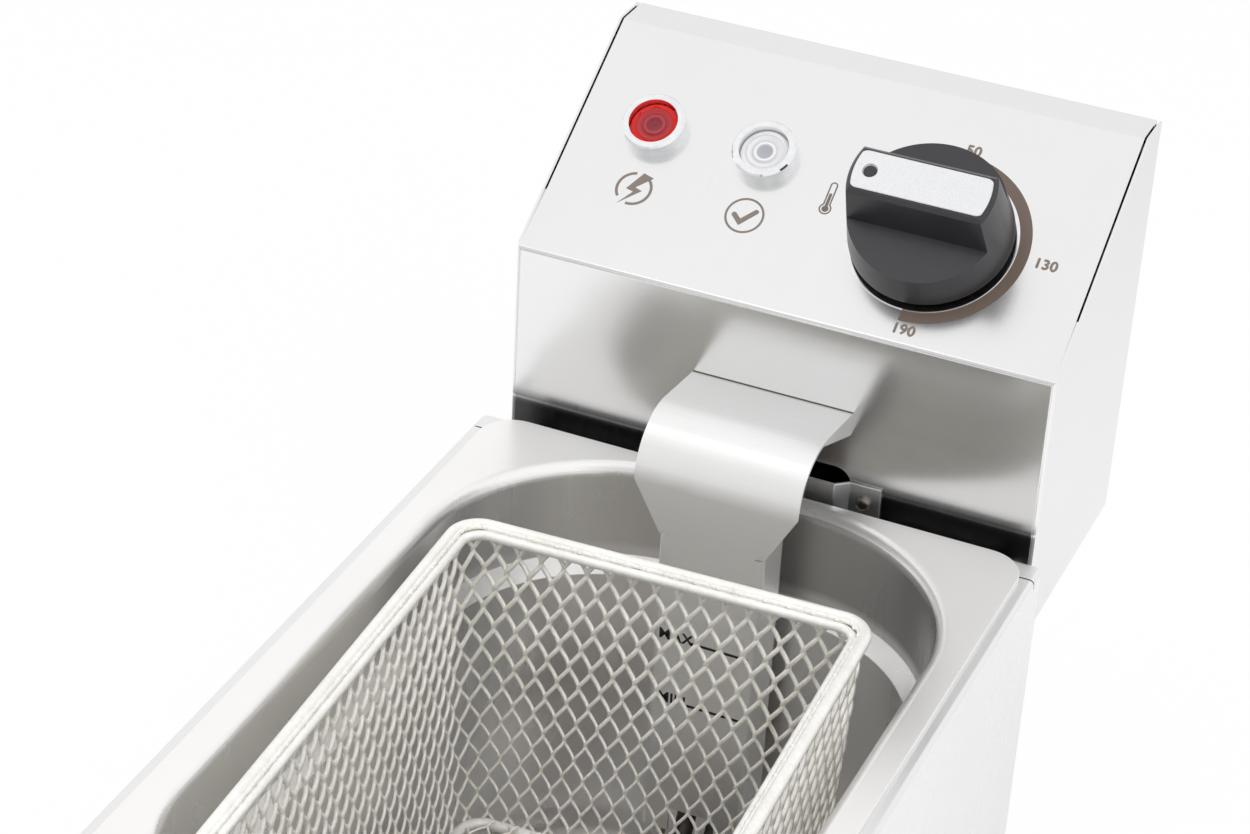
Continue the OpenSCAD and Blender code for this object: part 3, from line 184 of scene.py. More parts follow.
# the grain's scales: acrossX on fronts and backs, acrossY on the sides, flat on level faces;
# rough is one number where the sheet is evenly polished
steelLooks = {
    "casingSteel": {"pale": rgb(0.93, 0.93, 0.93), "deep": rgb(0.89, 0.89, 0.887),
                    "rough": (0.24, 0.34), "acrossX": (1800, 18, 18), "acrossY": (18, 1800, 18),
                    "flat": (600, 14, 14), "levelFaceShade": 0.98, "contrast": (0.7, 0.25),
                    "bump": 0.05,
                    # the gap's tone is painted shade on the rear wall's outer face
                    "gap": {"past": 0.1395, "tone": 0.30, "fade": (0.148, 0.160)}},
    "headSteel": {"pale": rgb(0.87, 0.87, 0.87), "deep": rgb(0.84, 0.84, 0.838),
                  "rough": 0.22, "acrossX": (2200, 14, 14), "acrossY": (14, 2200, 14),
                  "levelFaceShade": 0.99, "contrast": (0.8, 0.8), "bump": 0.05,
                  "wave": {"scale": (7, 7, 24), "depth": 0.0015},
                  # the foot's tones are painted shade low on the front, with a painted reflection
                  # as the bright line at 0.585
                  "foot": {"low": 0.176, "high": 0.190, "tone": [
                      (0.0, 0.26), (0.44, 0.28), (0.53, 0.38), (0.585, 0.95), (0.64, 0.40),
                      (0.73, 0.58), (0.86, 0.90), (1.0, 1.0)]}},
    "tankSteel": {"pale": rgb(0.99, 0.985, 0.975), "deep": rgb(0.93, 0.915, 0.90),
                  "rough": (0.26, 0.31), "acrossX": (75, 75, 4), "acrossY": (75, 75, 4),
                  "flat": (320, 12, 12), "contrast": (1.0, 0.15), "bump": 0.015,
                  "detail": 1.6, "metal": 0.82,
                  # the inner wall darker high up and towards one side
                  "upperWall": {"above": (0.1505, 0.1535), "across": (-0.05, 0.06),
                           "tone": (0.86, 0.50)}},
    "guardSteel": {"pale": rgb(0.97, 0.97, 0.97), "deep": rgb(0.92, 0.917, 0.91),
                   "rough": (0.36, 0.44), "acrossX": (16, 1900, 1900),
                   "acrossY": (16, 1900, 1900), "levelFaceShade": 0.96, "contrast": (0.9, 0.9),
                   "bump": 0.06, "metal": 0.80},
    "bracketSteel": {"pale": rgb(0.90, 0.90, 0.90), "deep": rgb(0.80, 0.80, 0.80),
                     "rough": (0.36, 0.46), "acrossX": (700, 60, 60), "acrossY": (60, 700, 60),
                     "bump": 0.05},
    "innerSteel": {"pale": rgb(0.70, 0.70, 0.69), "deep": rgb(0.62, 0.62, 0.61),
                   "rough": (0.30, 0.42), "acrossX": (900, 30, 30), "acrossY": (30, 900, 30),
                   "bump": 0.08},
}
steelGrain = {"wiped": (22, 22, 22), "wipedShare": 0.4, "bumpDepth": 0.0002,
              "waveFaces": (-0.995, -0.93)}


def paintGapShade(tree, look, colour, axes, facing):
    # painted shade on the rear wall, where the head hangs close behind it
    inside = times(tree, mathOf(tree, "GREATER_THAN", axes[1], look["past"]),
                   spread(tree, axes[2], 0, 1, *look["fade"]),
                   mathOf(tree, "GREATER_THAN", facing[1], 0.7))
    return mixColour(tree, inside, colour, shadeOf(tree, colour, look["tone"]))


def darkenUpperWall(tree, look, colour, axes, facing):
    # darker on the upright inner wall above the oil line, and more so towards one side
    high = spread(tree, axes[2], 0, 1, *look["above"])
    side = spread(tree, axes[0], *look["tone"], *look["across"])
    inward = mathOf(tree, "LESS_THAN", plus(
        tree, times(tree, axes[0], facing[0]), times(tree, axes[1], facing[1])), 0.0)
    standing = mathOf(tree, "LESS_THAN", facing[2], 0.5)
    return mixColour(tree, times(tree, high, inward, standing), colour,
                     shadeOf(tree, colour, side))


def paintFootShadeAndReflection(tree, look, colour, axes, facing):
    # painted shade on the front's lower edge, like that on the casing's rear wall, and in it a
    # bright line that is a painted reflection
    ramp = addNode(tree, "ShaderNodeValToRGB", {
        0: spread(tree, axes[2], 0, 1, look["low"], look["high"])})
    setRamp(ramp, [(position, rgb(tone, tone, tone)) for position, tone in look["tone"]])
    return mixColour(tree, mathOf(tree, "LESS_THAN", facing[1], -0.7), colour,
                     vectorOf(tree, "MULTIPLY", colour, ramp.outputs[0]))


def waveFront(tree, look, shader, place, facing):
    # the thin upright front is not quite flat
    front = spread(tree, facing[1], 1, 0, *steelGrain["waveFaces"])
    swell = noiseAt(tree, place, look["scale"], 1.0, 0.4)
    fine = shader.inputs["Normal"].links[0].from_node
    broad = addNode(tree, "ShaderNodeBump", {
        "Height": times(tree, swell, front), "Strength": 1.0, "Distance": look["depth"]})
    setInputs(tree, fine, {"Normal": broad.outputs[0]})


def brushedSteel(name, look):
    material, tree, shader, place = startMaterial(name)
    facing = axesOf(tree, addNode(tree, "ShaderNodeTexCoord").outputs["Normal"])
    axes = axesOf(tree, place)
    onSides = mathOf(tree, "GREATER_THAN", mathOf(tree, "ABSOLUTE", facing[0]), 0.7)
    onFlat = mathOf(tree, "GREATER_THAN", facing[2], 0.85)
    detail = look.get("detail", 4.0)
    grain = addNode(tree, "ShaderNodeMix", {
        0: onSides, 2: noiseAt(tree, place, look["acrossX"], detail),
        3: noiseAt(tree, place, look["acrossY"], detail)}).outputs[0]
    level = noiseAt(tree, place, look.get("flat", look["acrossX"]), detail)
    # contrast shrinks the grain's swing about its middle, on upright and on level faces
    grain, level = [
        mathOf(tree, "MULTIPLY_ADD", pattern, share, 0.5 * (1 - share))
        for pattern, share in zip((grain, level), look.get("contrast", (1.0, 1.0)))]
    grain = addNode(tree, "ShaderNodeMix", {0: onFlat, 2: grain, 3: level}).outputs[0]
    wiped = noiseAt(tree, place, steelGrain["wiped"], 3.0)
    tone = plus(tree, times(tree, grain, 1 - steelGrain["wipedShare"]),
                times(tree, wiped, steelGrain["wipedShare"]))
    colour = mixColour(tree, spread(tree, tone, 0, 1), look["deep"], look["pale"])
    # level faces a tone darker: painted shade
    colour = mixColour(tree, onFlat, colour,
                       shadeOf(tree, colour, look.get("levelFaceShade", 1.0)))
    for part, paint in (("gap", paintGapShade), ("upperWall", darkenUpperWall), ("foot", paintFootShadeAndReflection)):
        if part in look:
            colour = paint(tree, look[part], colour, axes, facing)
    rough = look["rough"]
    if isinstance(rough, tuple):
        rough = spread(tree, tone, rough[1], rough[0])
    setInputs(tree, shader, {"Base Color": colour, "Metallic": look.get("metal", 1.0),
                             "Roughness": rough})
    bumpTo(tree, shader, grain, look["bump"], steelGrain["bumpDepth"])
    if "wave" in look:
        waveFront(tree, look["wave"], shader, place, facing)
    return material


def platedMetal(name, colour, rough, scale=900.0, bump=0.05):
    material, tree, shader, place = startMaterial(name)
    speckle = noiseAt(tree, place, (scale,) * 3, 3.0)
    tint = mixColour(tree, spread(tree, speckle, 0, 1),
                     rgb(*[c * 0.88 for c in colour]), rgb(*colour))
    setInputs(tree, shader, {"Base Color": tint, "Metallic": 1.0,
                             "Roughness": spread(tree, speckle, rough * 1.3, rough * 0.8)})
    bumpTo(tree, shader, speckle, bump, 0.0001)
    return material


tinLook = {"lumps": 700, "stains": 90, "tones": (0.36, 0.60), "rough": (0.46, 0.30),
           "bump": 0.35, "depth": 0.0003}


def tinnedWire(name, colour, shade, metal, look=tinLook):
    # dipped tin: pale where it is thick, brownish in the hollows
    material, tree, shader, place = startMaterial(name)
    lumps = noiseAt(tree, place, (look["lumps"],) * 3, 4.0)
    stain = noiseAt(tree, place, (look["stains"],) * 3, 4.0)
    tone = plus(tree, times(tree, lumps, 0.5), times(tree, stain, 0.5))
    tint = mixColour(tree, spread(tree, tone, 0, 1, *look["tones"]), shade, colour)
    setInputs(tree, shader, {"Base Color": tint, "Metallic": metal,
                             "Roughness": spread(tree, lumps, *look["rough"])})
    bumpTo(tree, shader, lumps, look["bump"], look["depth"])
    return material


def mouldedPlastic(name, colour, rough, grain=2600.0, bump=0.06, coat=0.0, gloss=0.5):
    material, tree, shader, place = startMaterial(name)
    texture = noiseAt(tree, place, (grain,) * 3, 2.0)
    handling = noiseAt(tree, place, (60, 60, 60), 3.0)
    tint = mixColour(tree, spread(tree, handling, 0, 1), rgb(*colour),
                     rgb(*[min(1.0, c * 1.25 + 0.002) for c in colour]))
    setInputs(tree, shader, {"Base Color": tint, "Coat Weight": coat,
                             "Roughness": spread(tree, handling, rough * 0.9, rough * 1.15),
                             "Specular IOR Level": gloss})
    bumpTo(tree, shader, texture, bump, 0.00015)
    return material


lensFinish = {"reach": 110.0, "ripple": 500, "rough": (0.06, 0.14), "gloss": 0.35,
              "bump": 0.05, "depth": 0.0002}


def lensWithPaintedRings(name, centre, stops, look=lensFinish):
    # rings of painted highlight and painted shade round the lens's axis, darkest in the middle;
    # reach turns metres from the axis into the ramp's share
    material, tree, shader, place = startMaterial(name)
    reach = vectorOf(tree, "LENGTH", vectorOf(tree, "SUBTRACT", place, tuple(centre)))
    ramp = addNode(tree, "ShaderNodeValToRGB", {0: times(tree, reach, look["reach"])})
    setRamp(ramp, stops)
    ripple = noiseAt(tree, place, (look["ripple"],) * 3, 2.0)
    setInputs(tree, shader, {"Base Color": ramp.outputs[0], "Specular IOR Level": look["gloss"],
                             "Roughness": spread(tree, ripple, *look["rough"])})
    bumpTo(tree, shader, ripple, look["bump"], look["depth"])
    return material


sheathLook = {"patches": 35, "fine": 1200, "dark": rgb(0.10, 0.10, 0.11),
              "straw": rgb(0.20, 0.175, 0.15), "metal": 0.8, "rough": (0.38, 0.55),
              "bump": 0.12, "depth": 0.0002}


def heatedSheath(name, look=sheathLook):
    # element tube: dark oxide with straw patches
    material, tree, shader, place = startMaterial(name)
    patches = noiseAt(tree, place, (look["patches"],) * 3, 4.0)
    fine = noiseAt(tree, place, (look["fine"],) * 3, 3.0)
    tint = mixColour(tree, spread(tree, patches, 0, 1), look["dark"], look["straw"])
    setInputs(tree, shader, {"Base Color": tint, "Metallic": look["metal"],
                             "Roughness": spread(tree, fine, *look["rough"])})
    bumpTo(tree, shader, fine, look["bump"], look["depth"])
    return material


def printedInk(name, colour):
    material, tree, shader, place = startMaterial(name)
    dots = noiseAt(tree, place, (3500, 3500, 3500), 2.0)
    tint = mixColour(tree, spread(tree, dots, 0, 1), rgb(*[c * 0.9 for c in colour]),
                     rgb(*colour))
    setInputs(tree, shader, {"Base Color": tint, "Roughness": spread(tree, dots, 0.5, 0.62)})
    return material


platedLooks = {
    "platedScrew": {"colour": (0.62, 0.61, 0.58), "rough": 0.28},
    "darkScrew": {"colour": (0.30, 0.28, 0.25), "rough": 0.38},
    "chromedRing": {"colour": (0.93, 0.935, 0.95), "rough": 0.07, "scale": 300.0, "bump": 0.02},
    "copperSensor": {"colour": (0.62, 0.40, 0.28), "rough": 0.30},
    "turnedBrass": {"colour": (0.72, 0.56, 0.30), "rough": 0.25},
    "turnedShaft": {"colour": (0.62, 0.62, 0.62), "rough": 0.22},
    "chromedWire": {"colour": (0.80, 0.80, 0.81), "rough": 0.14, "scale": 400.0, "bump": 0.03},
    "silverInlay": {"colour": (0.92, 0.925, 0.94), "rough": 0.34, "scale": 2200.0, "bump": 0.04},
    "polishedDisc": {"colour": (0.90, 0.90, 0.91), "rough": 0.10, "scale": 500.0, "bump": 0.02},
    "ventGauze": {"colour": (0.045, 0.043, 0.040), "rough": 0.55, "scale": 1500.0, "bump": 0.3},
}
wireLooks = {
    "basketTin": {"colour": rgb(0.98, 0.965, 0.925), "shade": rgb(0.82, 0.785, 0.71),
                  "metal": 0.30},
    "rimTin": {"colour": rgb(0.94, 0.935, 0.91), "shade": rgb(0.84, 0.82, 0.77), "metal": 0.35},
}
plasticLooks = {
    "blackKnob": {"colour": (0.021, 0.021, 0.025), "rough": 0.32, "gloss": 0.55},
    "blackGrip": {"colour": (0.014, 0.014, 0.015), "rough": 0.45, "grain": 1500.0, "bump": 0.12},
    "blackNylon": {"colour": (0.016, 0.016, 0.017), "rough": 0.42},
    "footRubber": {"colour": (0.018, 0.018, 0.018), "rough": 0.70, "grain": 1200.0,
                   "bump": 0.15},
    "creamMoulding": {"colour": (0.62, 0.58, 0.48), "rough": 0.45},
    "resetRed": {"colour": (0.50, 0.02, 0.015), "rough": 0.35},
    "glazedCeramic": {"colour": (0.72, 0.70, 0.64), "rough": 0.22, "grain": 600.0,
                      "bump": 0.04, "coat": 0.6},
}
inkLooks = {
    "seamShade": {"colour": (0.085, 0.060, 0.042)},
    "dialPrint": {"colour": (0.150, 0.112, 0.090)},
    "labelPrint": {"colour": (0.225, 0.185, 0.158)},
    "blackPrint": {"colour": (0.012, 0.012, 0.012)},
}

finishes = {name: brushedSteel(name, look) for name, look in steelLooks.items()}
finishes["heatedSheath"] = heatedSheath("heatedSheath")
for maker, looks in ((platedMetal, platedLooks), (tinnedWire, wireLooks),
                     (mouldedPlastic, plasticLooks), (printedInk, inkLooks)):
    finishes.update({name: maker(name, **look) for name, look in looks.items()})

cadFinish = {
    "casingSteel": ["casing_shell"],
    "headSteel": ["head_shell", "head_back_cover", "head_bottom_plate"],
    "tankSteel": ["tank"],
    "guardSteel": ["guard_plate"],
    "bracketSteel": ["element_bracket", "element_spacers"],
    "innerSteel": ["base_plate", "head_hanger", "head_hook", "hanger_rivets", "basket_hook"],
    "platedScrew": ["base_screws", "foot_screws", "cover_screws", "bracket_screws",
                    "thermostat_screws", "reset_nut", "mains_lamp_nut", "heat_lamp_nut"],
    "chromedRing": ["mains_lamp_bezel", "heat_lamp_bezel"],
    "copperSensor": ["thermostat_capillary", "thermostat_bulb", "limiter_capillary",
                     "limiter_bulb"],
    "turnedBrass": ["reset_bushing"],
    "turnedShaft": ["thermostat_shaft"],
    "chromedWire": ["handle_wires"],
    "silverInlay": ["knob_insert"],
    "polishedDisc": ["knob_disc"],
    "basketTin": ["mesh_right", "mesh_rear", "mesh_left", "mesh_front", "mesh_corners",
                  "mesh_floor"],
    "rimTin": ["basket_rim", "basket_inner_rim", "basket_frame"],
    "blackKnob": ["knob_body"],
    "blackGrip": ["handle_grip"],
    "blackNylon": ["cable_gland", "gland_nut"],
    "footRubber": ["foot_front_left", "foot_front_right", "foot_rear_left", "foot_rear_right"],
    "creamMoulding": ["thermostat_body", "limiter_body", "mains_lamp_body", "heat_lamp_body",
                      "mains_lamp_lens", "heat_lamp_lens"],
    "resetRed": ["reset_button"],
    "glazedCeramic": ["terminal_block"],
    "heatedSheath": ["heating_element"],
}


def wear(obj, material):
    obj.data.materials.clear()
    obj.data.materials.append(material)
    obj.data.polygons.foreach_set("material_index", [0] * len(obj.data.polygons))


for finishName, members in cadFinish.items():
    for member in members:
        wear(cadNodes[member], finishes[finishName])
print("materials made:", len(finishes))

# piece helpers


def addPiece(name, mesh, finish, body, stands=()):
    piece = bpy.data.objects.new(name, mesh)
    scene.collection.objects.link(piece)
    wear(piece, finishes[finish] if isinstance(finish, str) else finish)
    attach(piece, body)
    if stands:
        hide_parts(*stands)
    return piece


edgeLook = {"merge": 2e-6, "flat": 0.6, "sharp": 28.0, "gripSharp": 62.0, "segments": 2}


def mergedCopy(nodeName, angle=edgeLook["sharp"]):
    # one welded mesh from a node's loose triangles, flat faces joined, with its sharp edges kept
    work = bmesh.new()
    work.from_mesh(cadNodes[nodeName].data)
    bmesh.ops.remove_doubles(work, verts=work.verts, dist=edgeLook["merge"])
    bmesh.ops.dissolve_limit(work, angle_limit=math.radians(edgeLook["flat"]), verts=work.verts,
                             edges=work.edges, delimit={"NORMAL"})
    for face in work.faces:
        face.smooth = True
    for edge in work.edges:
        edge.smooth = len(edge.link_faces) == 2 and edge.calc_face_angle(3.1) < math.radians(angle)
    mesh = bpy.data.meshes.new(nodeName + "Visual")
    work.to_mesh(mesh)
    work.free()
    return mesh


def softenEdges(piece, width):
    bevel = piece.modifiers.new("edges", "BEVEL")
    bevel.width, bevel.segments = width, edgeLook["segments"]
    bevel.limit_method, bevel.angle_limit = "ANGLE", math.radians(edgeLook["sharp"])
    piece.modifiers.new("normals", "WEIGHTED_NORMAL").keep_sharp = True


def madeMesh(obj, name):
    # the evaluated object as a plain mesh of its own
    bpy.context.view_layer.update()
    graph = bpy.context.evaluated_depsgraph_get()
    mesh = bpy.data.meshes.new_from_object(obj.evaluated_get(graph), depsgraph=graph)
    mesh.name = name
    return mesh


# sheet metal and the knob, with fine broken edges: node, finish, body, slot, width of the edge

sheetPieces = {
    "casingShell": ("casing_shell", "casingSteel", "casing", "steel_sheet", 0.22),
    "headShell": ("head_shell", "headSteel", "head", "steel_sheet", 0.20),
    "headBackCover": ("head_back_cover", "headSteel", "head", "steel_sheet", 0.20),
    "guardPlate": ("guard_plate", "guardSteel", "head", "guard_steel", 0.15),
    "elementBracket": ("element_bracket", "bracketSteel", "head", "steel_parts", 0.18),
    "drawnTank": ("tank", "tankSteel", "tank", "tank_steel", 0.15),
    "knobBody": ("knob_body", "blackKnob", "knob", "knob_black", 0.45),
    "knobInlay": ("knob_insert", "silverInlay", "knob", "knob_silver", 0.25),
}

for name, (node, finish, body, slotName, edge) in sheetPieces.items():
    piece = addPiece(name, mergedCopy(node), finish, body, [node])
    softenEdges(piece, edge * mm)
addPiece("handleGrip", mergedCopy("handle_grip", edgeLook["gripSharp"]), "blackGrip", "handle",
         ["handle_grip"])
print("sheet pieces made")

# panel prints

panelPlace = {"bend": Vector((0, 149.3, 238.7)) * mm, "tilt": math.radians(33.4439)}
panelTurn = (Matrix.Translation(panelPlace["bend"])
             @ Matrix.Rotation(panelPlace["tilt"], 4, "X"))

# places on the panel are in millimetres across it and up it from its lower bend
printLook = {
    "thick": 0.03,
    "dial": {"at": (36.6, 39.0), "inner": 27.05, "outer": 30.9, "from": -91, "to": 84},
    "numbers": {"50": (38.9, 71.7), "130": (73.5, 38.6), "190": (38.9, 5.3)},
    "numberSize": 4.9,
    "bold": 0.20,
    "boldStep": 0.008,
    "mainsRing": {"at": (-61.1, 30.2), "radius": 5.65, "line": 0.95,
                  "arcs": ((100, 222), (262, 408))},
    "mainsBolt": [(-59.84, 36.41), (-56.11, 35.37), (-60.76, 30.74), (-58.21, 29.99),
                  (-64.65, 23.74), (-60.93, 29.08), (-63.61, 29.69)],
    "readyRing": {"at": (-23.1, 30.35), "radius": 6.05, "line": 0.75},
    "readyTick": {"through": [(-26.4, 30.0), (-23.9, 27.75), (-19.85, 32.5)], "line": 1.75},
    "thermometer": {"at": (0.7, 43.2), "tube": 1.25, "bulb": 2.05, "low": -3.7, "high": 5.0,
                    "line": 0.48, "fillBulb": 1.15, "fillTube": 0.5, "fillTop": 1.6,
                    "fillNeck": 26},
}


def arcPoints(cx, cy, r, start, stop, steps=24):
    return [(cx + r * math.cos(math.radians(start + (stop - start) * i / steps)),
             cy + r * math.sin(math.radians(start + (stop - start) * i / steps)))
            for i in range(steps + 1)]


def flatPrint(name, loops, turn, thick):
    # filled outlines raised by the thickness of the ink; an outline inside another is a hole
    curve = bpy.data.curves.new(name, "CURVE")
    curve.dimensions, curve.fill_mode, curve.extrude = "2D", "BOTH", thick * mm / 2
    for loop in loops:
        spline = curve.splines.new("POLY")
        spline.points.add(len(loop) - 1)
        for point, (x, y) in zip(spline.points, loop):
            point.co = (x * mm, y * mm, 0, 1)
        spline.use_cyclic_u = True
    holder = bpy.data.objects.new(name, curve)
    scene.collection.objects.link(holder)
    mesh = madeMesh(holder, name)
    bpy.data.objects.remove(holder)
    mesh.transform(turn @ Matrix.Translation((0, 0, thick * mm / 2)))
    return mesh


def flatText(words, at, size, turn, thick, offset=0.0):
    curve = bpy.data.curves.new("words", "FONT")
    curve.body, curve.size, curve.extrude = words, size * mm, thick * mm / 2
    curve.align_x, curve.align_y = "CENTER", "CENTER"
    curve.offset, curve.space_character = offset * mm, 1.05
    holder = bpy.data.objects.new("words", curve)
    scene.collection.objects.link(holder)
    mesh = madeMesh(holder, "words")
    bpy.data.objects.remove(holder)
    mesh.transform(turn @ Matrix.Translation((at[0] * mm, at[1] * mm, thick * mm / 2)))
    return mesh


def joinedMesh(name, meshes):
    work = bmesh.new()
    for mesh in meshes:
        work.from_mesh(mesh)
        bpy.data.meshes.remove(mesh)
    bmesh.ops.remove_doubles(work, verts=work.verts, dist=1e-7)
    bmesh.ops.recalc_face_normals(work, faces=work.faces)
    mesh = bpy.data.meshes.new(name)
    work.to_mesh(mesh)
    work.free()
    return mesh


def thickLine(points, width):
    # outline of a line with round ends through two or three points
    left, right = [], []
    for i, p in enumerate(points):
        before, after = points[max(i - 1, 0)], points[min(i + 1, len(points) - 1)]
        a = Vector((p[0] - before[0], p[1] - before[1]))
        b = Vector((after[0] - p[0], after[1] - p[1]))
        a = a.normalized() if a.length else b.normalized()
        b = b.normalized() if b.length else a
        bisector = (Vector((-a.y, a.x)) + Vector((-b.y, b.x))).normalized()
        reach = width / 2 / max(0.3, bisector.dot(Vector((-a.y, a.x))))
        left.append((p[0] + bisector.x * reach, p[1] + bisector.y * reach))
        right.append((p[0] - bisector.x * reach, p[1] - bisector.y * reach))

    def cap(centre, toward):
        heading = math.degrees(math.atan2(toward[1] - centre[1], toward[0] - centre[0]))
        return arcPoints(centre[0], centre[1], width / 2, heading + 90, heading + 270, 10)

    return (cap(points[0], points[1])[1:-1] + right[1:-1]
            + cap(points[-1], points[-2])[1:-1] + left[1:-1][::-1])


def thermometerPrint(look, thick):
    # a glass tube outline with its bulb, and the filled column inside it
    x, y = look["at"]

    def outline(inset):
        tube, bulb = look["tube"] - inset, look["bulb"] - inset
        meet = math.degrees(math.asin(tube / bulb))
        return (arcPoints(x, y + look["low"], bulb, 90 + meet, 450 - meet, 30)
                + arcPoints(x, y + look["high"], tube, 0, 180, 14))

    neck = look["fillNeck"]
    column = (arcPoints(x, y + look["low"], look["fillBulb"], 90 + neck, 450 - neck, 24)
              + arcPoints(x, y + look["fillTop"], look["fillTube"], 0, 180, 8))
    return [flatPrint("tubeLine", [outline(0), outline(look["line"])], panelTurn, thick),
            flatPrint("column", [column], panelTurn, thick)]


def makePanelPrints(look):
    thick, dial = look["thick"], look["dial"]
    band = (arcPoints(*dial["at"], dial["outer"], dial["from"], dial["to"], 72)
            + arcPoints(*dial["at"], dial["inner"], dial["to"], dial["from"], 72))
    bandMesh = joinedMesh("dialBand", [flatPrint("band", [band], panelTurn, thick)])
    addPiece("dialBand", bandMesh, "dialPrint", "head")

    parts = []
    for words, at in look["numbers"].items():
        for k, (dx, dy) in enumerate(((0, 0), (1, 0), (-1, 0), (0, 1), (0, -1))):
            # bold strokes: shifted copies, each a little higher than the last
            spot = (at[0] + dx * look["bold"], at[1] + dy * look["bold"])
            parts.append(flatText(words, spot, look["numberSize"], panelTurn,
                                  thick + look["boldStep"] * k))
    ring = look["mainsRing"]
    outer, inner = ring["radius"] + ring["line"] / 2, ring["radius"] - ring["line"] / 2
    for start, stop in ring["arcs"]:
        arc = (arcPoints(*ring["at"], outer, start, stop, 30)
               + arcPoints(*ring["at"], inner, stop, start, 30))
        parts.append(flatPrint("mainsRing", [arc], panelTurn, thick))
    parts.append(flatPrint("mainsBolt", [look["mainsBolt"]], panelTurn, thick))
    ring = look["readyRing"]
    circles = [arcPoints(*ring["at"], ring["radius"] + side * ring["line"] / 2, 0, 354, 59)
               for side in (1, -1)]
    parts.append(flatPrint("readyRing", circles, panelTurn, thick))
    tick = thickLine(look["readyTick"]["through"], look["readyTick"]["line"])
    parts.append(flatPrint("readyTick", [tick], panelTurn, thick))
    parts += thermometerPrint(look["thermometer"], thick)
    addPiece("panelPrint", joinedMesh("panelPrint", parts), "labelPrint", "head")


makePanelPrints(printLook)

# lamp lenses: moulded rings round a flat middle

lensLook = {
    "ringsHeight": 2.6,
    "profile": [(0, 2.55), (2.5, 2.55), (2.8, 2.85), (3.7, 2.85), (4.0, 2.5), (5.0, 2.5),
                (5.3, 2.9), (6.2, 2.9), (6.5, 2.6), (7.5, 2.6), (7.99, 2.3), (7.99, 1.6),
                (0, 1.6)],
    # the lenses' tones are painted highlight and painted shade in rings, the middle darkest
    "mains": {"at": (-62.4, 53.0), "slot": "red_lens", "tone": [
        (0.0, rgb(0.19, 0.020, 0.034)), (0.27, rgb(0.24, 0.018, 0.028)),
        (0.34, rgb(0.42, 0.050, 0.062)), (0.42, rgb(0.28, 0.014, 0.020)),
        (0.58, rgb(0.44, 0.034, 0.040)), (0.66, rgb(0.40, 0.006, 0.007)),
        (0.72, rgb(0.72, 0.006, 0.004)), (0.88, rgb(0.58, 0.004, 0.003))]},
    "heat": {"at": (-24.2, 52.8), "slot": "clear_lens", "tone": [
        (0.0, rgb(0.36, 0.37, 0.40)), (0.26, rgb(0.40, 0.41, 0.44)),
        (0.34, rgb(0.86, 0.86, 0.87)), (0.43, rgb(0.55, 0.55, 0.57)),
        (0.58, rgb(0.78, 0.78, 0.79)), (0.66, rgb(0.60, 0.60, 0.62)),
        (0.74, rgb(0.82, 0.82, 0.82)), (0.88, rgb(0.70, 0.70, 0.71))]},
}


def turnedMesh(name, profile, place, steps=96):
    # profile points are radius and height in millimetres, from the axis round to the axis
    work = bmesh.new()
    rows = []
    for radius, height in profile:
        count = steps if radius else 1
        rows.append([work.verts.new((radius * mm * math.cos(2 * math.pi * i / steps),
                                     radius * mm * math.sin(2 * math.pi * i / steps),
                                     height * mm)) for i in range(count)])
    for near, far in zip(rows, rows[1:]):
        for i in range(steps):
            corners = [near[i % len(near)], near[(i + 1) % steps % len(near)],
                       far[(i + 1) % steps % len(far)], far[i % len(far)]]
            work.faces.new(list(dict.fromkeys(corners))).smooth = True
    bmesh.ops.recalc_face_normals(work, faces=work.faces)
    mesh = bpy.data.meshes.new(name)
    work.to_mesh(mesh)
    work.free()
    mesh.transform(place)
    return mesh


def makeLens(lamp):
    look = lensLook[lamp]
    place = panelTurn @ Matrix.Translation((look["at"][0] * mm, look["at"][1] * mm, 0))
    name = lamp + "Lens"
    mesh = turnedMesh(name, lensLook["profile"], place)
    centre = place @ Vector((0, 0, lensLook["ringsHeight"] * mm))
    addPiece(name, mesh, lensWithPaintedRings(name, centre, look["tone"]), "head",
             [lamp + "_lamp_lens"])


for lamp in ("mains", "heat"):
    makeLens(lamp)

# dark pin set in the knob's inlay

pinLook = {"at": (19.93, 39.0), "profile": [(0, 31.56), (0.9, 31.52), (1.7, 31.38), (2.24, 31.2),
                                            (2.24, 31.14), (0, 31.14)]}
pinMesh = turnedMesh("knobPin", pinLook["profile"], panelTurn @ Matrix.Translation(
    (pinLook["at"][0] * mm, pinLook["at"][1] * mm, 0)), 48)
addPiece("knobPin", pinMesh, "blackKnob", "knob")

# level marks on the guard

guardFace = {"y": 104.8, "z": {"MAX": 140.7, "MIN": 116.7}, "line": (-4.8, 14.8), "wide": 0.95,
             "words": (-9.6, 0.9), "size": 5.3, "bold": 0.12, "thick": 0.03}


def makeLevelMarks(look):
    turn = Matrix.Rotation(math.radians(90), 4, "X")
    (x0, x1), half = look["line"], look["wide"] / 2
    parts = []
    for word, z in look["z"].items():
        place = Matrix.Translation((0, look["y"] * mm, z * mm)) @ turn
        parts.append(flatPrint("levelLine", [[(x0, -half), (x1, -half), (x1, half), (x0, half)]],
                               place, look["thick"]))
        parts.append(flatText(word, look["words"], look["size"], place, look["thick"],
                              look["bold"]))
    addPiece("levelMarks", joinedMesh("levelMarks", parts), "blackPrint", "head")


makeLevelMarks(guardFace)

# dark joint where the guard leaves the head, a strip for its grime and painted shadow, and the
# gauze over the vents in its floor

stripLooks = {
    "guardSeam": {"x": (-27.0, 27.0), "y": (149.12, 149.29), "z": (210.62, 211.0),
                  "finish": "seamShade", "slot": "guard_steel"},
    "ventGauze": {"x": (-48.0, 48.0), "y": (173.5, 214.5), "z": (146.9, 147.2),
                  "finish": "ventGauze", "slot": "steel_parts"},
}


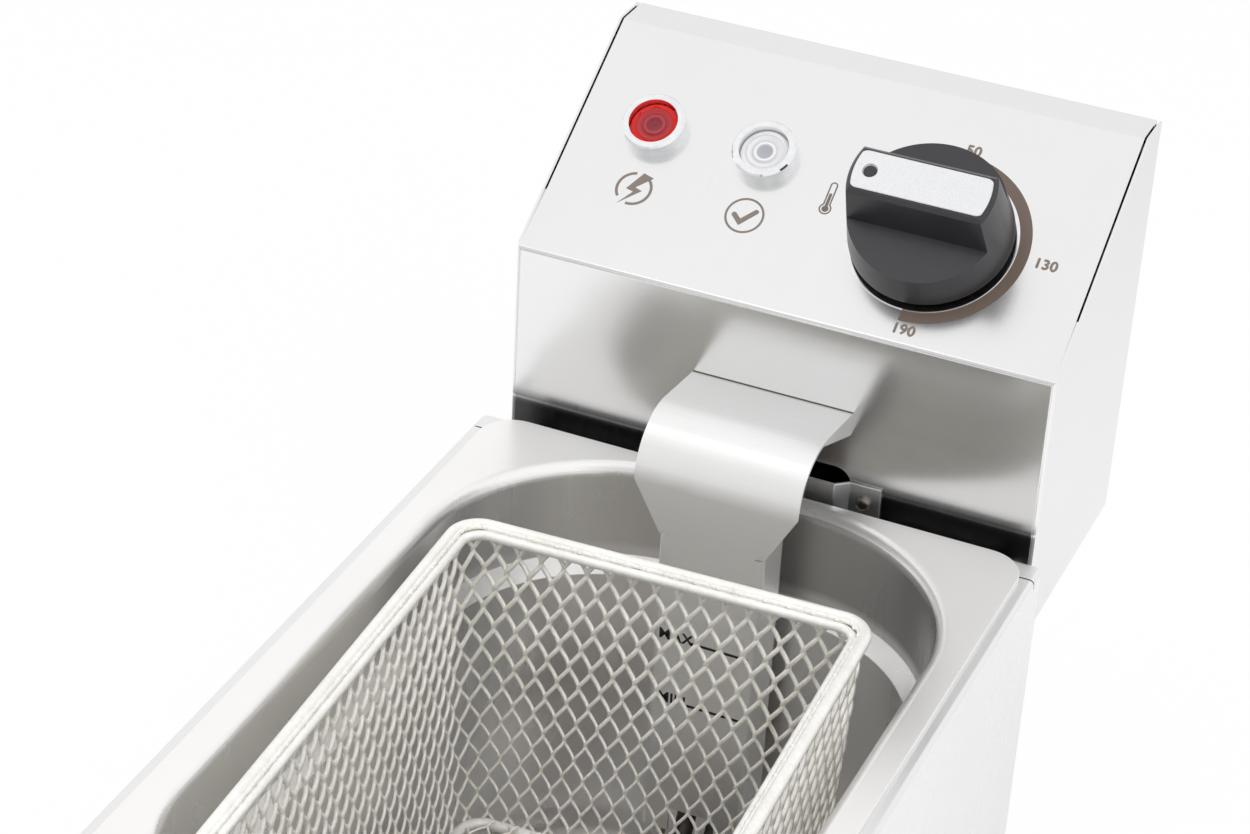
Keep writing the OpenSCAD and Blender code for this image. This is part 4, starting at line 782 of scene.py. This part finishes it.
def makeStrip(name, look):
    work = bmesh.new()
    bmesh.ops.create_cube(work, size=1.0)
    for vert in work.verts:
        vert.co = Vector([look[axis][vert.co[k] > 0] for k, axis in enumerate("xyz")]) * mm
    mesh = bpy.data.meshes.new(name)
    work.to_mesh(mesh)
    work.free()
    addPiece(name, mesh, look["finish"], "head")


for name, look in stripLooks.items():
    makeStrip(name, look)
print("prints made")

# basket mesh

basketSeat = {"at": (1.05, -16.25, 0), "turned": 2.5}
basketPlace = (Matrix.Translation([c * mm for c in basketSeat["at"]])
               @ Matrix.Rotation(math.radians(basketSeat["turned"]), 4, "Z"))

wallMeshLook = {
    "top width": 128.7, "top length": 178.8, "top corner": 8.0, "top height": 185.6,
    "bottom width": 120.2, "bottom length": 170.3, "bottom corner": 10.6,
    "bottom height": 79.8, "strands": 162, "rings": 86, "pitch": 13.7, "depth": 0.55,
    "wire": 0.66, "wrap radius": 2.15, "wrap turn": 1.1, "foot radius": 2.6, "foot turn": 1.9,
}


def newTree(name, numbers):
    tree = bpy.data.node_groups.new(name, "GeometryNodeTree")
    tree.interface.new_socket("Geometry", in_out="INPUT", socket_type="NodeSocketGeometry")
    for label, value in numbers.items():
        kind = "NodeSocketInt" if isinstance(value, int) else "NodeSocketFloat"
        tree.interface.new_socket(label, in_out="INPUT", socket_type=kind).default_value = value
    tree.interface.new_socket("Geometry", in_out="OUTPUT", socket_type="NodeSocketGeometry")
    source = tree.nodes.new("NodeGroupInput")
    result = tree.nodes.new("NodeGroupOutput")
    return tree, source.outputs, result


def growMesh(name, tree, numbers, start=None):
    # runs a tree on a carrier, empty unless points are given, and returns the plain mesh
    carrier = bpy.data.objects.new(name + "Carrier",
                                   start or bpy.data.meshes.new(name + "Carrier"))
    scene.collection.objects.link(carrier)
    modifier = carrier.modifiers.new("grow", "NODES")
    modifier.node_group = tree
    for item in tree.interface.items_tree:
        if item.item_type == "SOCKET" and item.in_out == "INPUT" and item.name in numbers:
            modifier[item.identifier] = numbers[item.name]
    mesh = madeMesh(carrier, name)
    bpy.data.objects.remove(carrier)
    return mesh


def roundedLoop(tree, width, length, corner):
    # closed outline, clockwise from above, each corner an arc of eight steps
    loop = geometryOf(tree, "CurvePrimitiveQuadrilateral", {"Width": width, "Height": length})
    fillet = geometryOf(tree, "FilletCurve", {"Curve": loop, "Radius": corner, "Count": 8},
                        mode="POLY")
    return geometryOf(tree, "ReverseCurve", {"Curve": fillet})


def sampleLoop(tree, loop, share):
    node = addNode(tree, "GeometryNodeSampleCurve", {"Curves": loop, "Factor": share},
                   use_all_curves=True, mode="FACTOR")
    return node.outputs["Position"], node.outputs["Tangent"]


def wireTube(tree, curve, radius, sides=6):
    # a closed tube whose radius may change along it
    sized = geometryOf(tree, "SetCurveRadius", {"Curve": curve, "Radius": radius})
    section = geometryOf(tree, "CurvePrimitiveCircle", {"Resolution": sides, "Radius": 1.0})
    tube = geometryOf(tree, "CurveToMesh", {
        "Curve": sized, "Profile Curve": section, "Fill Caps": True,
        "Scale": geometryOf(tree, "InputRadius")})
    return geometryOf(tree, "SetShadeSmooth", {"Geometry": tube})


def endTree(tree, geometry, finish, result):
    real = geometryOf(tree, "RealizeInstances", {0: geometry})
    coated = geometryOf(tree, "SetMaterial", {"Geometry": real, "Material": finishes[finish]})
    setInputs(tree, result, {0: coated})
    return tree


def inMetres(tree, given, labels):
    return {label: times(tree, given[label], mm) for label in labels}


def strandSet(tree, given):
    # straight strands a metre high, one per metre along X
    strand = geometryOf(tree, "CurvePrimitiveLine", {"End": (0, 0, 1)})
    strand = geometryOf(tree, "ResampleCurve", {"Curve": strand, "Count": given["rings"]})
    spots = geometryOf(tree, "MeshLine", {"Count": given["strands"], "Offset": (1, 0, 0)})
    copies = geometryOf(tree, "InstanceOnPoints", {"Points": spots, "Instance": strand})
    strands = geometryOf(tree, "RealizeInstances", {0: copies})
    at = axesOf(tree, geometryOf(tree, "InputPosition"))
    return strands, mathOf(tree, "ROUND", at[0]), at[2]


# fullness near 1 gives a strand straight runs with tight bends; swing is its share of a pitch
# sideways, and swell is how much its two sides differ in thickness
weaveLook = {"fullness": 0.955, "swing": 0.56, "swell": 0.22}


def weaveOf(tree, along, row, pitch):
    # sideways swing and depth of a strand that links with its neighbours
    phase = plus(tree, times(tree, divided(tree, along, pitch), 2 * math.pi),
                 times(tree, row, math.pi))
    swing = divided(tree, mathOf(tree, "ARCSINE", times(
        tree, mathOf(tree, "SINE", phase), weaveLook["fullness"])),
        math.asin(weaveLook["fullness"]))
    return swing, mathOf(tree, "COSINE", phase)


def strandTubes(tree, strands, spot, wire, side):
    # strands leaning one way are the broader ones
    placed = geometryOf(tree, "SetPosition", {"Geometry": strands, "Position": spot})
    broad = times(tree, wire, plus(tree, 1.0, times(tree, side, weaveLook["swell"])))
    return wireTube(tree, placed, broad)


def wallMeshTree(numbers):
    tree, given, result = newTree("wall mesh", numbers)
    metres = inMetres(tree, given, [label for label, value in numbers.items()
                                    if isinstance(value, float) and "turn" not in label])
    slope = minus(tree, metres["top height"], metres["bottom height"])
    lean = times(tree, minus(tree, metres["top width"], metres["bottom width"]), 0.5)
    wall = mathOf(tree, "SQRT", plus(tree, times(tree, slope, slope), times(tree, lean, lean)))
    wrap = times(tree, metres["wrap radius"], given["wrap turn"])
    foot = times(tree, metres["foot radius"], given["foot turn"])

    strands, row, share = strandSet(tree, given)
    along = minus(tree, times(tree, share, plus(tree, wall, wrap, foot)), foot)
    swing, side = weaveOf(tree, along, row, metres["pitch"])

    # climb goes from 0 to 1 up the wall, over and under are the bends past its two ends
    climb = addNode(tree, "ShaderNodeClamp", {0: divided(tree, along, wall)}).outputs[0]
    over = divided(tree, mathOf(tree, "MAXIMUM", minus(tree, along, wall), 0.0),
                   metres["wrap radius"])
    under = divided(tree, mathOf(tree, "MAXIMUM", times(tree, along, -1.0), 0.0),
                    metres["foot radius"])
    calm = minus(tree, 1.0, times(tree, divided(tree, over, given["wrap turn"]), 0.75))
    share = plus(tree, row, 0.5, times(tree, swing, weaveLook["swing"], calm))
    share = mathOf(tree, "FRACT", divided(tree, share, given["strands"]))

    ends = {}
    for end in ("bottom", "top"):
        loop = roundedLoop(tree, *[metres[end + " " + part]
                                   for part in ("width", "length", "corner")])
        at, heading = sampleLoop(tree, loop, share)
        ends[end] = (vectorOf(tree, "ADD", at, joinAxes(tree, z=metres[end + " height"])),
                     heading)
    onWall, heading = [
        addNode(tree, "ShaderNodeMix", {0: climb, 4: low, 5: high},
                data_type="VECTOR").outputs[1]
        for low, high in zip(ends["bottom"], ends["top"])]
    inward = vectorOf(tree, "NORMALIZE", vectorOf(tree, "CROSS_PRODUCT", heading, (0, 0, 1)))

    stepIn = plus(
        tree,
        times(tree, metres["wrap radius"], minus(tree, 1.0, mathOf(tree, "COSINE", over))),
        times(tree, metres["foot radius"], minus(tree, 1.0, mathOf(tree, "COSINE", under))),
        times(tree, side, metres["depth"], calm))
    rise = minus(tree, times(tree, metres["wrap radius"], mathOf(tree, "SINE", over)),
                 times(tree, metres["foot radius"], mathOf(tree, "SINE", under)))
    spot = vectorOf(tree, "ADD", onWall, joinAxes(tree, z=rise))
    scaled = addNode(tree, "ShaderNodeVectorMath", {0: inward, "Scale": stepIn},
                     operation="SCALE")
    spot = vectorOf(tree, "ADD", spot, scaled.outputs[0])
    tubes = strandTubes(tree, strands, spot, metres["wire"], side)
    return endTree(tree, tubes, "basketTin", result)


wallMesh = growMesh("basketWalls", wallMeshTree(wallMeshLook), wallMeshLook)
wallMesh.transform(basketPlace)
addPiece("basketWalls", wallMesh, "basketTin", "basket",
         ["mesh_right", "mesh_rear", "mesh_left", "mesh_front", "mesh_corners"])
print("basket walls made:", len(wallMesh.polygons), "faces")

floorMeshLook = {"width": 113.4, "length": 163.5, "corner": 13.0, "height": 82.45, "strands": 30,
                 "rings": 150, "pitch": 13.7, "depth": 0.5, "wire": 0.56}


def floorMeshTree(numbers):
    tree, given, result = newTree("floor mesh", numbers)
    metres = inMetres(tree, given, [label for label, value in numbers.items()
                                    if isinstance(value, float)])
    strands, row, share = strandSet(tree, given)
    spacing = divided(tree, metres["width"], given["strands"])
    middle = times(tree, minus(tree, given["strands"], 1.0), 0.5)
    x = times(tree, minus(tree, row, middle), spacing)
    # strands near the sides stop at the rounded corners
    straight = minus(tree, times(tree, metres["width"], 0.5), metres["corner"])
    past = mathOf(tree, "MAXIMUM", 0.0, minus(tree, mathOf(tree, "ABSOLUTE", x), straight))
    rest = mathOf(tree, "SQRT", mathOf(tree, "MAXIMUM", 0.0, minus(
        tree, times(tree, metres["corner"], metres["corner"]), times(tree, past, past))))
    reach = plus(tree, rest, minus(tree, times(tree, metres["length"], 0.5),
                                   metres["corner"]))
    y = times(tree, minus(tree, share, 0.5), times(tree, reach, 2.0))
    swing, side = weaveOf(tree, y, row, metres["pitch"])
    x = plus(tree, x, times(tree, swing, weaveLook["swing"], spacing))
    z = plus(tree, metres["height"], times(tree, side, metres["depth"]))
    tubes = strandTubes(tree, strands, joinAxes(tree, x, y, z), metres["wire"], side)
    return endTree(tree, tubes, "basketTin", result)


floorMesh = growMesh("basketFloor", floorMeshTree(floorMeshLook), floorMeshLook)
floorMesh.transform(basketPlace)
addPiece("basketFloor", floorMesh, "basketTin", "basket", ["mesh_floor"])
print("basket floor made:", len(floorMesh.polygons), "faces")

# solder run in between the two rim wires

solderLook = {"width": 127.3, "length": 177.4, "corner": 6.5, "height": 187.0, "bead": 1.0,
              "unevenness": 0.40, "lump": 0.30, "seed": 4.0, "steps": 1400}


def solderTree(numbers):
    tree, given, result = newTree("rim solder", numbers)
    metres = inMetres(tree, given, ("width", "length", "corner", "height", "bead"))
    loop = roundedLoop(tree, metres["width"], metres["length"], metres["corner"])
    fine = geometryOf(tree, "ResampleCurve", {"Curve": loop, "Count": given["steps"]})
    lifted = geometryOf(tree, "SetPosition", {
        "Geometry": fine, "Offset": joinAxes(tree, z=metres["height"])})
    noise = addNode(tree, "ShaderNodeTexNoise", {
        "W": given["seed"], "Scale": times(tree, given["lump"], 1000.0), "Detail": 3.0},
        noise_dimensions="4D").outputs[0]
    level = spread(tree, noise, minus(tree, 1.0, given["unevenness"]), 1.0)
    bead = times(tree, metres["bead"], level)
    return endTree(tree, wireTube(tree, lifted, bead, 10), "rimTin", result)


solderMesh = growMesh("rimSolder", solderTree(solderLook), solderLook)
solderMesh.transform(basketPlace)
addPiece("rimSolder", solderMesh, "rimTin", "basket")
print("rim solder made")

# screws with a cross recess

screwShape = {"sides": 32, "rings": 9, "rodSides": 20, "slot": 0.22, "seed": 11}
screwLooks = {
    "cover_screws": {"name": "coverScrews", "body": "head", "head": 2.8, "rise": 1.75,
                     "shank": 1.45, "reach": 5.5},
    "bracket_screws": {"name": "bracketScrews", "body": "head", "head": 2.6, "rise": 1.75,
                       "shank": 1.45, "reach": 4.5, "finish": "darkScrew"},
    "base_screws": {"name": "baseScrews", "body": "casing", "head": 3.0, "rise": 1.2,
                    "shank": 1.5, "reach": 4.5},
}


def screwPlaces(nodeName):
    # seat and direction of every screw, read from the loose solids of its node
    work = bmesh.new()
    work.from_mesh(cadNodes[nodeName].data)
    bmesh.ops.remove_doubles(work, verts=work.verts, dist=1e-6)
    places, left = [], set(work.verts)
    while left:
        island, edge = set(), [next(iter(left))]
        while edge:
            vert = edge.pop()
            if vert in island:
                continue
            island.add(vert)
            edge += [link.other_vert(vert) for link in vert.link_edges]
        left -= island
        points = [vert.co.copy() for vert in island]
        low = Vector([min(p[k] for p in points) for k in range(3)])
        high = Vector([max(p[k] for p in points) for k in range(3)])
        middle = (low + high) / 2
        k = max(range(3), key=lambda i: (high - low)[i])
        others = [i for i in range(3) if i != k]

        def breadth(side):
            # how far the screw's end on that side reaches from its axis
            near = [p for p in points if (p[k] - middle[k]) * side > 0.35 * (high - low)[k]]
            return max(math.hypot(*[p[i] - middle[i] for i in others]) for p in near)

        facing = 1 if breadth(1) > breadth(-1) else -1
        aim = Vector((0, 0, 0))
        aim[k] = facing
        top = middle.copy()
        top[k] = (high if facing > 0 else low)[k]
        places.append((top, aim))
    work.free()
    return places


def screwTree(name, numbers, finish):
    tree, given, result = newTree(name, numbers)
    metres = inMetres(tree, given, ("head", "rise", "shank", "reach"))
    cone = geometryOf(tree, "MeshCone", {
        "Vertices": screwShape["sides"], "Side Segments": screwShape["rings"],
        "Radius Top": 0.0, "Radius Bottom": metres["head"], "Depth": metres["rise"]})
    at = axesOf(tree, geometryOf(tree, "InputPosition"))
    share = divided(tree, mathOf(tree, "SQRT", plus(
        tree, times(tree, at[0], at[0]), times(tree, at[1], at[1]))), metres["head"])
    dome = mathOf(tree, "SQRT", mathOf(tree, "MAXIMUM", 0.0, minus(
        tree, 1.0, mathOf(tree, "POWER", share, 4.0))))
    head = geometryOf(tree, "SetPosition", {"Geometry": cone, "Position": joinAxes(
        tree, at[0], at[1], times(tree, dome, metres["rise"]))})
    cut = addNode(tree, "GeometryNodeMeshBoolean", {"Mesh 1": head}, operation="DIFFERENCE")
    sizes = [metres["head"], times(tree, metres["head"], screwShape["slot"])]
    for long, wide in (sizes, sizes[::-1]):
        box = geometryOf(tree, "MeshCube", {"Size": joinAxes(tree, long, wide, metres["rise"])})
        raised = geometryOf(tree, "Transform", {
            "Geometry": box, "Translation": joinAxes(tree, z=metres["rise"])})
        tree.links.new(raised, cut.inputs["Mesh 2"])
    rod = geometryOf(tree, "MeshCylinder", {
        "Vertices": screwShape["rodSides"], "Radius": metres["shank"],
        "Depth": metres["reach"]})
    # the rod's end goes a hair into the head
    rod = geometryOf(tree, "Transform", {"Geometry": rod, "Translation": joinAxes(
        tree, z=times(tree, metres["reach"], -0.495))})
    screw = addNode(tree, "GeometryNodeJoinGeometry")
    for part in (cut.outputs[0], rod):
        tree.links.new(part, screw.inputs[0])
    aim = geometryOf(tree, "InputNamedAttribute", {"Name": "aim"}, data_type="FLOAT_VECTOR")
    stand = addNode(tree, "FunctionNodeAlignRotationToVector", {"Vector": aim}, axis="Z")
    roll = addNode(tree, "FunctionNodeRandomValue", {
        "Min": 0.0, "Max": math.pi, "Seed": given["seed"]}, data_type="FLOAT")
    rollAngle = [out for out in roll.outputs if out.enabled][0]
    rolled = addNode(tree, "FunctionNodeRotateRotation", {
        "Rotation": stand.outputs[0], "Rotate By": joinAxes(tree, z=rollAngle)},
        rotation_space="LOCAL")
    copies = geometryOf(tree, "InstanceOnPoints", {
        "Points": given["Geometry"], "Instance": screw.outputs[0],
        "Rotation": rolled.outputs[0]})
    return endTree(tree, copies, finish, result)


def makeScrews(nodeName, look):
    numbers = {label: look[label] for label in ("head", "rise", "shank", "reach")}
    numbers["seed"] = screwShape["seed"]
    finish = look.get("finish", "platedScrew")
    tree = screwTree(look["name"], numbers, finish)
    seats = bpy.data.meshes.new(look["name"] + "Seats")
    places = screwPlaces(nodeName)
    seats.from_pydata([top - aim * look["rise"] * mm for top, aim in places], [], [])
    aims = seats.attributes.new("aim", "FLOAT_VECTOR", "POINT")
    aims.data.foreach_set("vector", [c for top, aim in places for c in aim])
    mesh = growMesh(look["name"], tree, numbers, seats)
    addPiece(look["name"], mesh, finish, look["body"], [nodeName])


for nodeName, look in screwLooks.items():
    makeScrews(nodeName, look)
print("screws made")

# floor, backdrop and light

studio = {
    "floor": {"size": 6.0, "tone": 0.94, "rough": 0.9, "seen": 0.96, "mirrored": 0.10},
    "tent": {"behind": 0.95, "depth": (0.0, 0.6)},
    "sky": {"low": 0.38, "high": 1.00, "rise": (0.35, 0.95)},
    "opening": {"toward": (0.0, -0.82, 0.57), "reach": (0.72, 0.93), "level": 0.74},
    "lampsAim": (0, 0, 0.15),
    "lamps": {
        "topLamp": {"spot": (-0.35, -0.45, 1.7), "power": 6.0, "size": 0.6,
                    "mirrored": False},
        "sideLamp": {"spot": (1.1, -0.9, 1.5), "power": 14.0, "size": 0.8,
                     "mirrored": False},
        "edgeLamp": {"spot": (-0.48, -0.50, 1.75), "power": 0.42, "size": 0.35,
                     "mirrored": True},
    },
}


def seenRays(tree):
    rays = addNode(tree, "ShaderNodeLightPath").outputs
    mirrored = mathOf(tree, "MAXIMUM", rays["Is Glossy Ray"], rays["Is Transmission Ray"])
    return rays["Is Camera Ray"], mirrored


def makeFloor(look):
    size = look["size"]
    mesh = bpy.data.meshes.new("studioFloor")
    mesh.from_pydata([(-size, -size, 0), (size, -size, 0), (size, size, 0), (-size, size, 0)],
                     [], [(0, 1, 2, 3)])
    floor = bpy.data.objects.new("studioFloor", mesh)
    scene.collection.objects.link(floor)
    material, tree, shader, place = startMaterial("studioFloor")
    setInputs(tree, shader, {"Base Color": rgb(*(look["tone"],) * 3),
                             "Roughness": look["rough"]})
    direct, mirrored = seenRays(tree)
    glow = addNode(tree, "ShaderNodeEmission", {"Color": rgb(1, 1, 1), "Strength": 1.0})
    share = plus(tree, times(tree, direct, look["seen"]),
                 times(tree, mirrored, look["mirrored"]))
    blend = addNode(tree, "ShaderNodeMixShader", {
        0: share, 1: shader.outputs[0], 2: glow.outputs[0]})
    setInputs(tree, tree.nodes["Material Output"], {"Surface": blend.outputs[0]})
    mesh.materials.append(material)


def makeSky(look):
    # a white tent, a little darker behind, that lights cloth and plastic less than it shines
    world = bpy.data.worlds.new("studioWorld")
    scene.world = world
    world.use_nodes = True
    tree = world.node_tree
    direct, mirrored = seenRays(tree)
    heading = addNode(tree, "ShaderNodeTexCoord").outputs["Generated"]
    toward = axesOf(tree, heading)
    tent = spread(tree, toward[1], 1.0, look["tent"]["behind"], *look["tent"]["depth"])
    # the tent's opening, seen only as a darker patch in polished metal
    opening = look["opening"]
    across = vectorOf(tree, "DOT_PRODUCT", heading,
                      tuple(Vector(opening["toward"]).normalized()))
    tent = times(tree, tent, addNode(tree, "ShaderNodeMapRange", {
        "Value": across, "From Min": opening["reach"][0], "From Max": opening["reach"][1],
        "To Min": 1.0, "To Max": opening["level"]}, interpolation_type="SMOOTHSTEP").outputs[0])
    # on dull surfaces most of the light falls from straight above
    unseen = minus(tree, 1.0, mathOf(tree, "MAXIMUM", direct, mirrored))
    soft = spread(tree, toward[2], look["sky"]["low"], look["sky"]["high"],
                  *look["sky"]["rise"])
    strength = plus(tree, direct, times(tree, mirrored, tent), times(tree, unseen, soft))
    setInputs(tree, tree.nodes["Background"], {"Color": rgb(1, 1, 1), "Strength": strength})


def makeLamps(look):
    for name, lampLook in look["lamps"].items():
        lamp = bpy.data.lights.new(name, "AREA")
        lamp.energy, lamp.size = lampLook["power"], lampLook["size"]
        holder = bpy.data.objects.new(name, lamp)
        scene.collection.objects.link(holder)
        holder.visible_glossy = lampLook["mirrored"]
        holder.location = lampLook["spot"]
        facing = Vector(look["lampsAim"]) - Vector(lampLook["spot"])
        holder.rotation_euler = facing.to_track_quat("-Z", "Y").to_euler()


makeFloor(studio["floor"])
makeSky(studio)
makeLamps(studio)
scene.view_settings.view_transform = "Standard"
print("studio made")
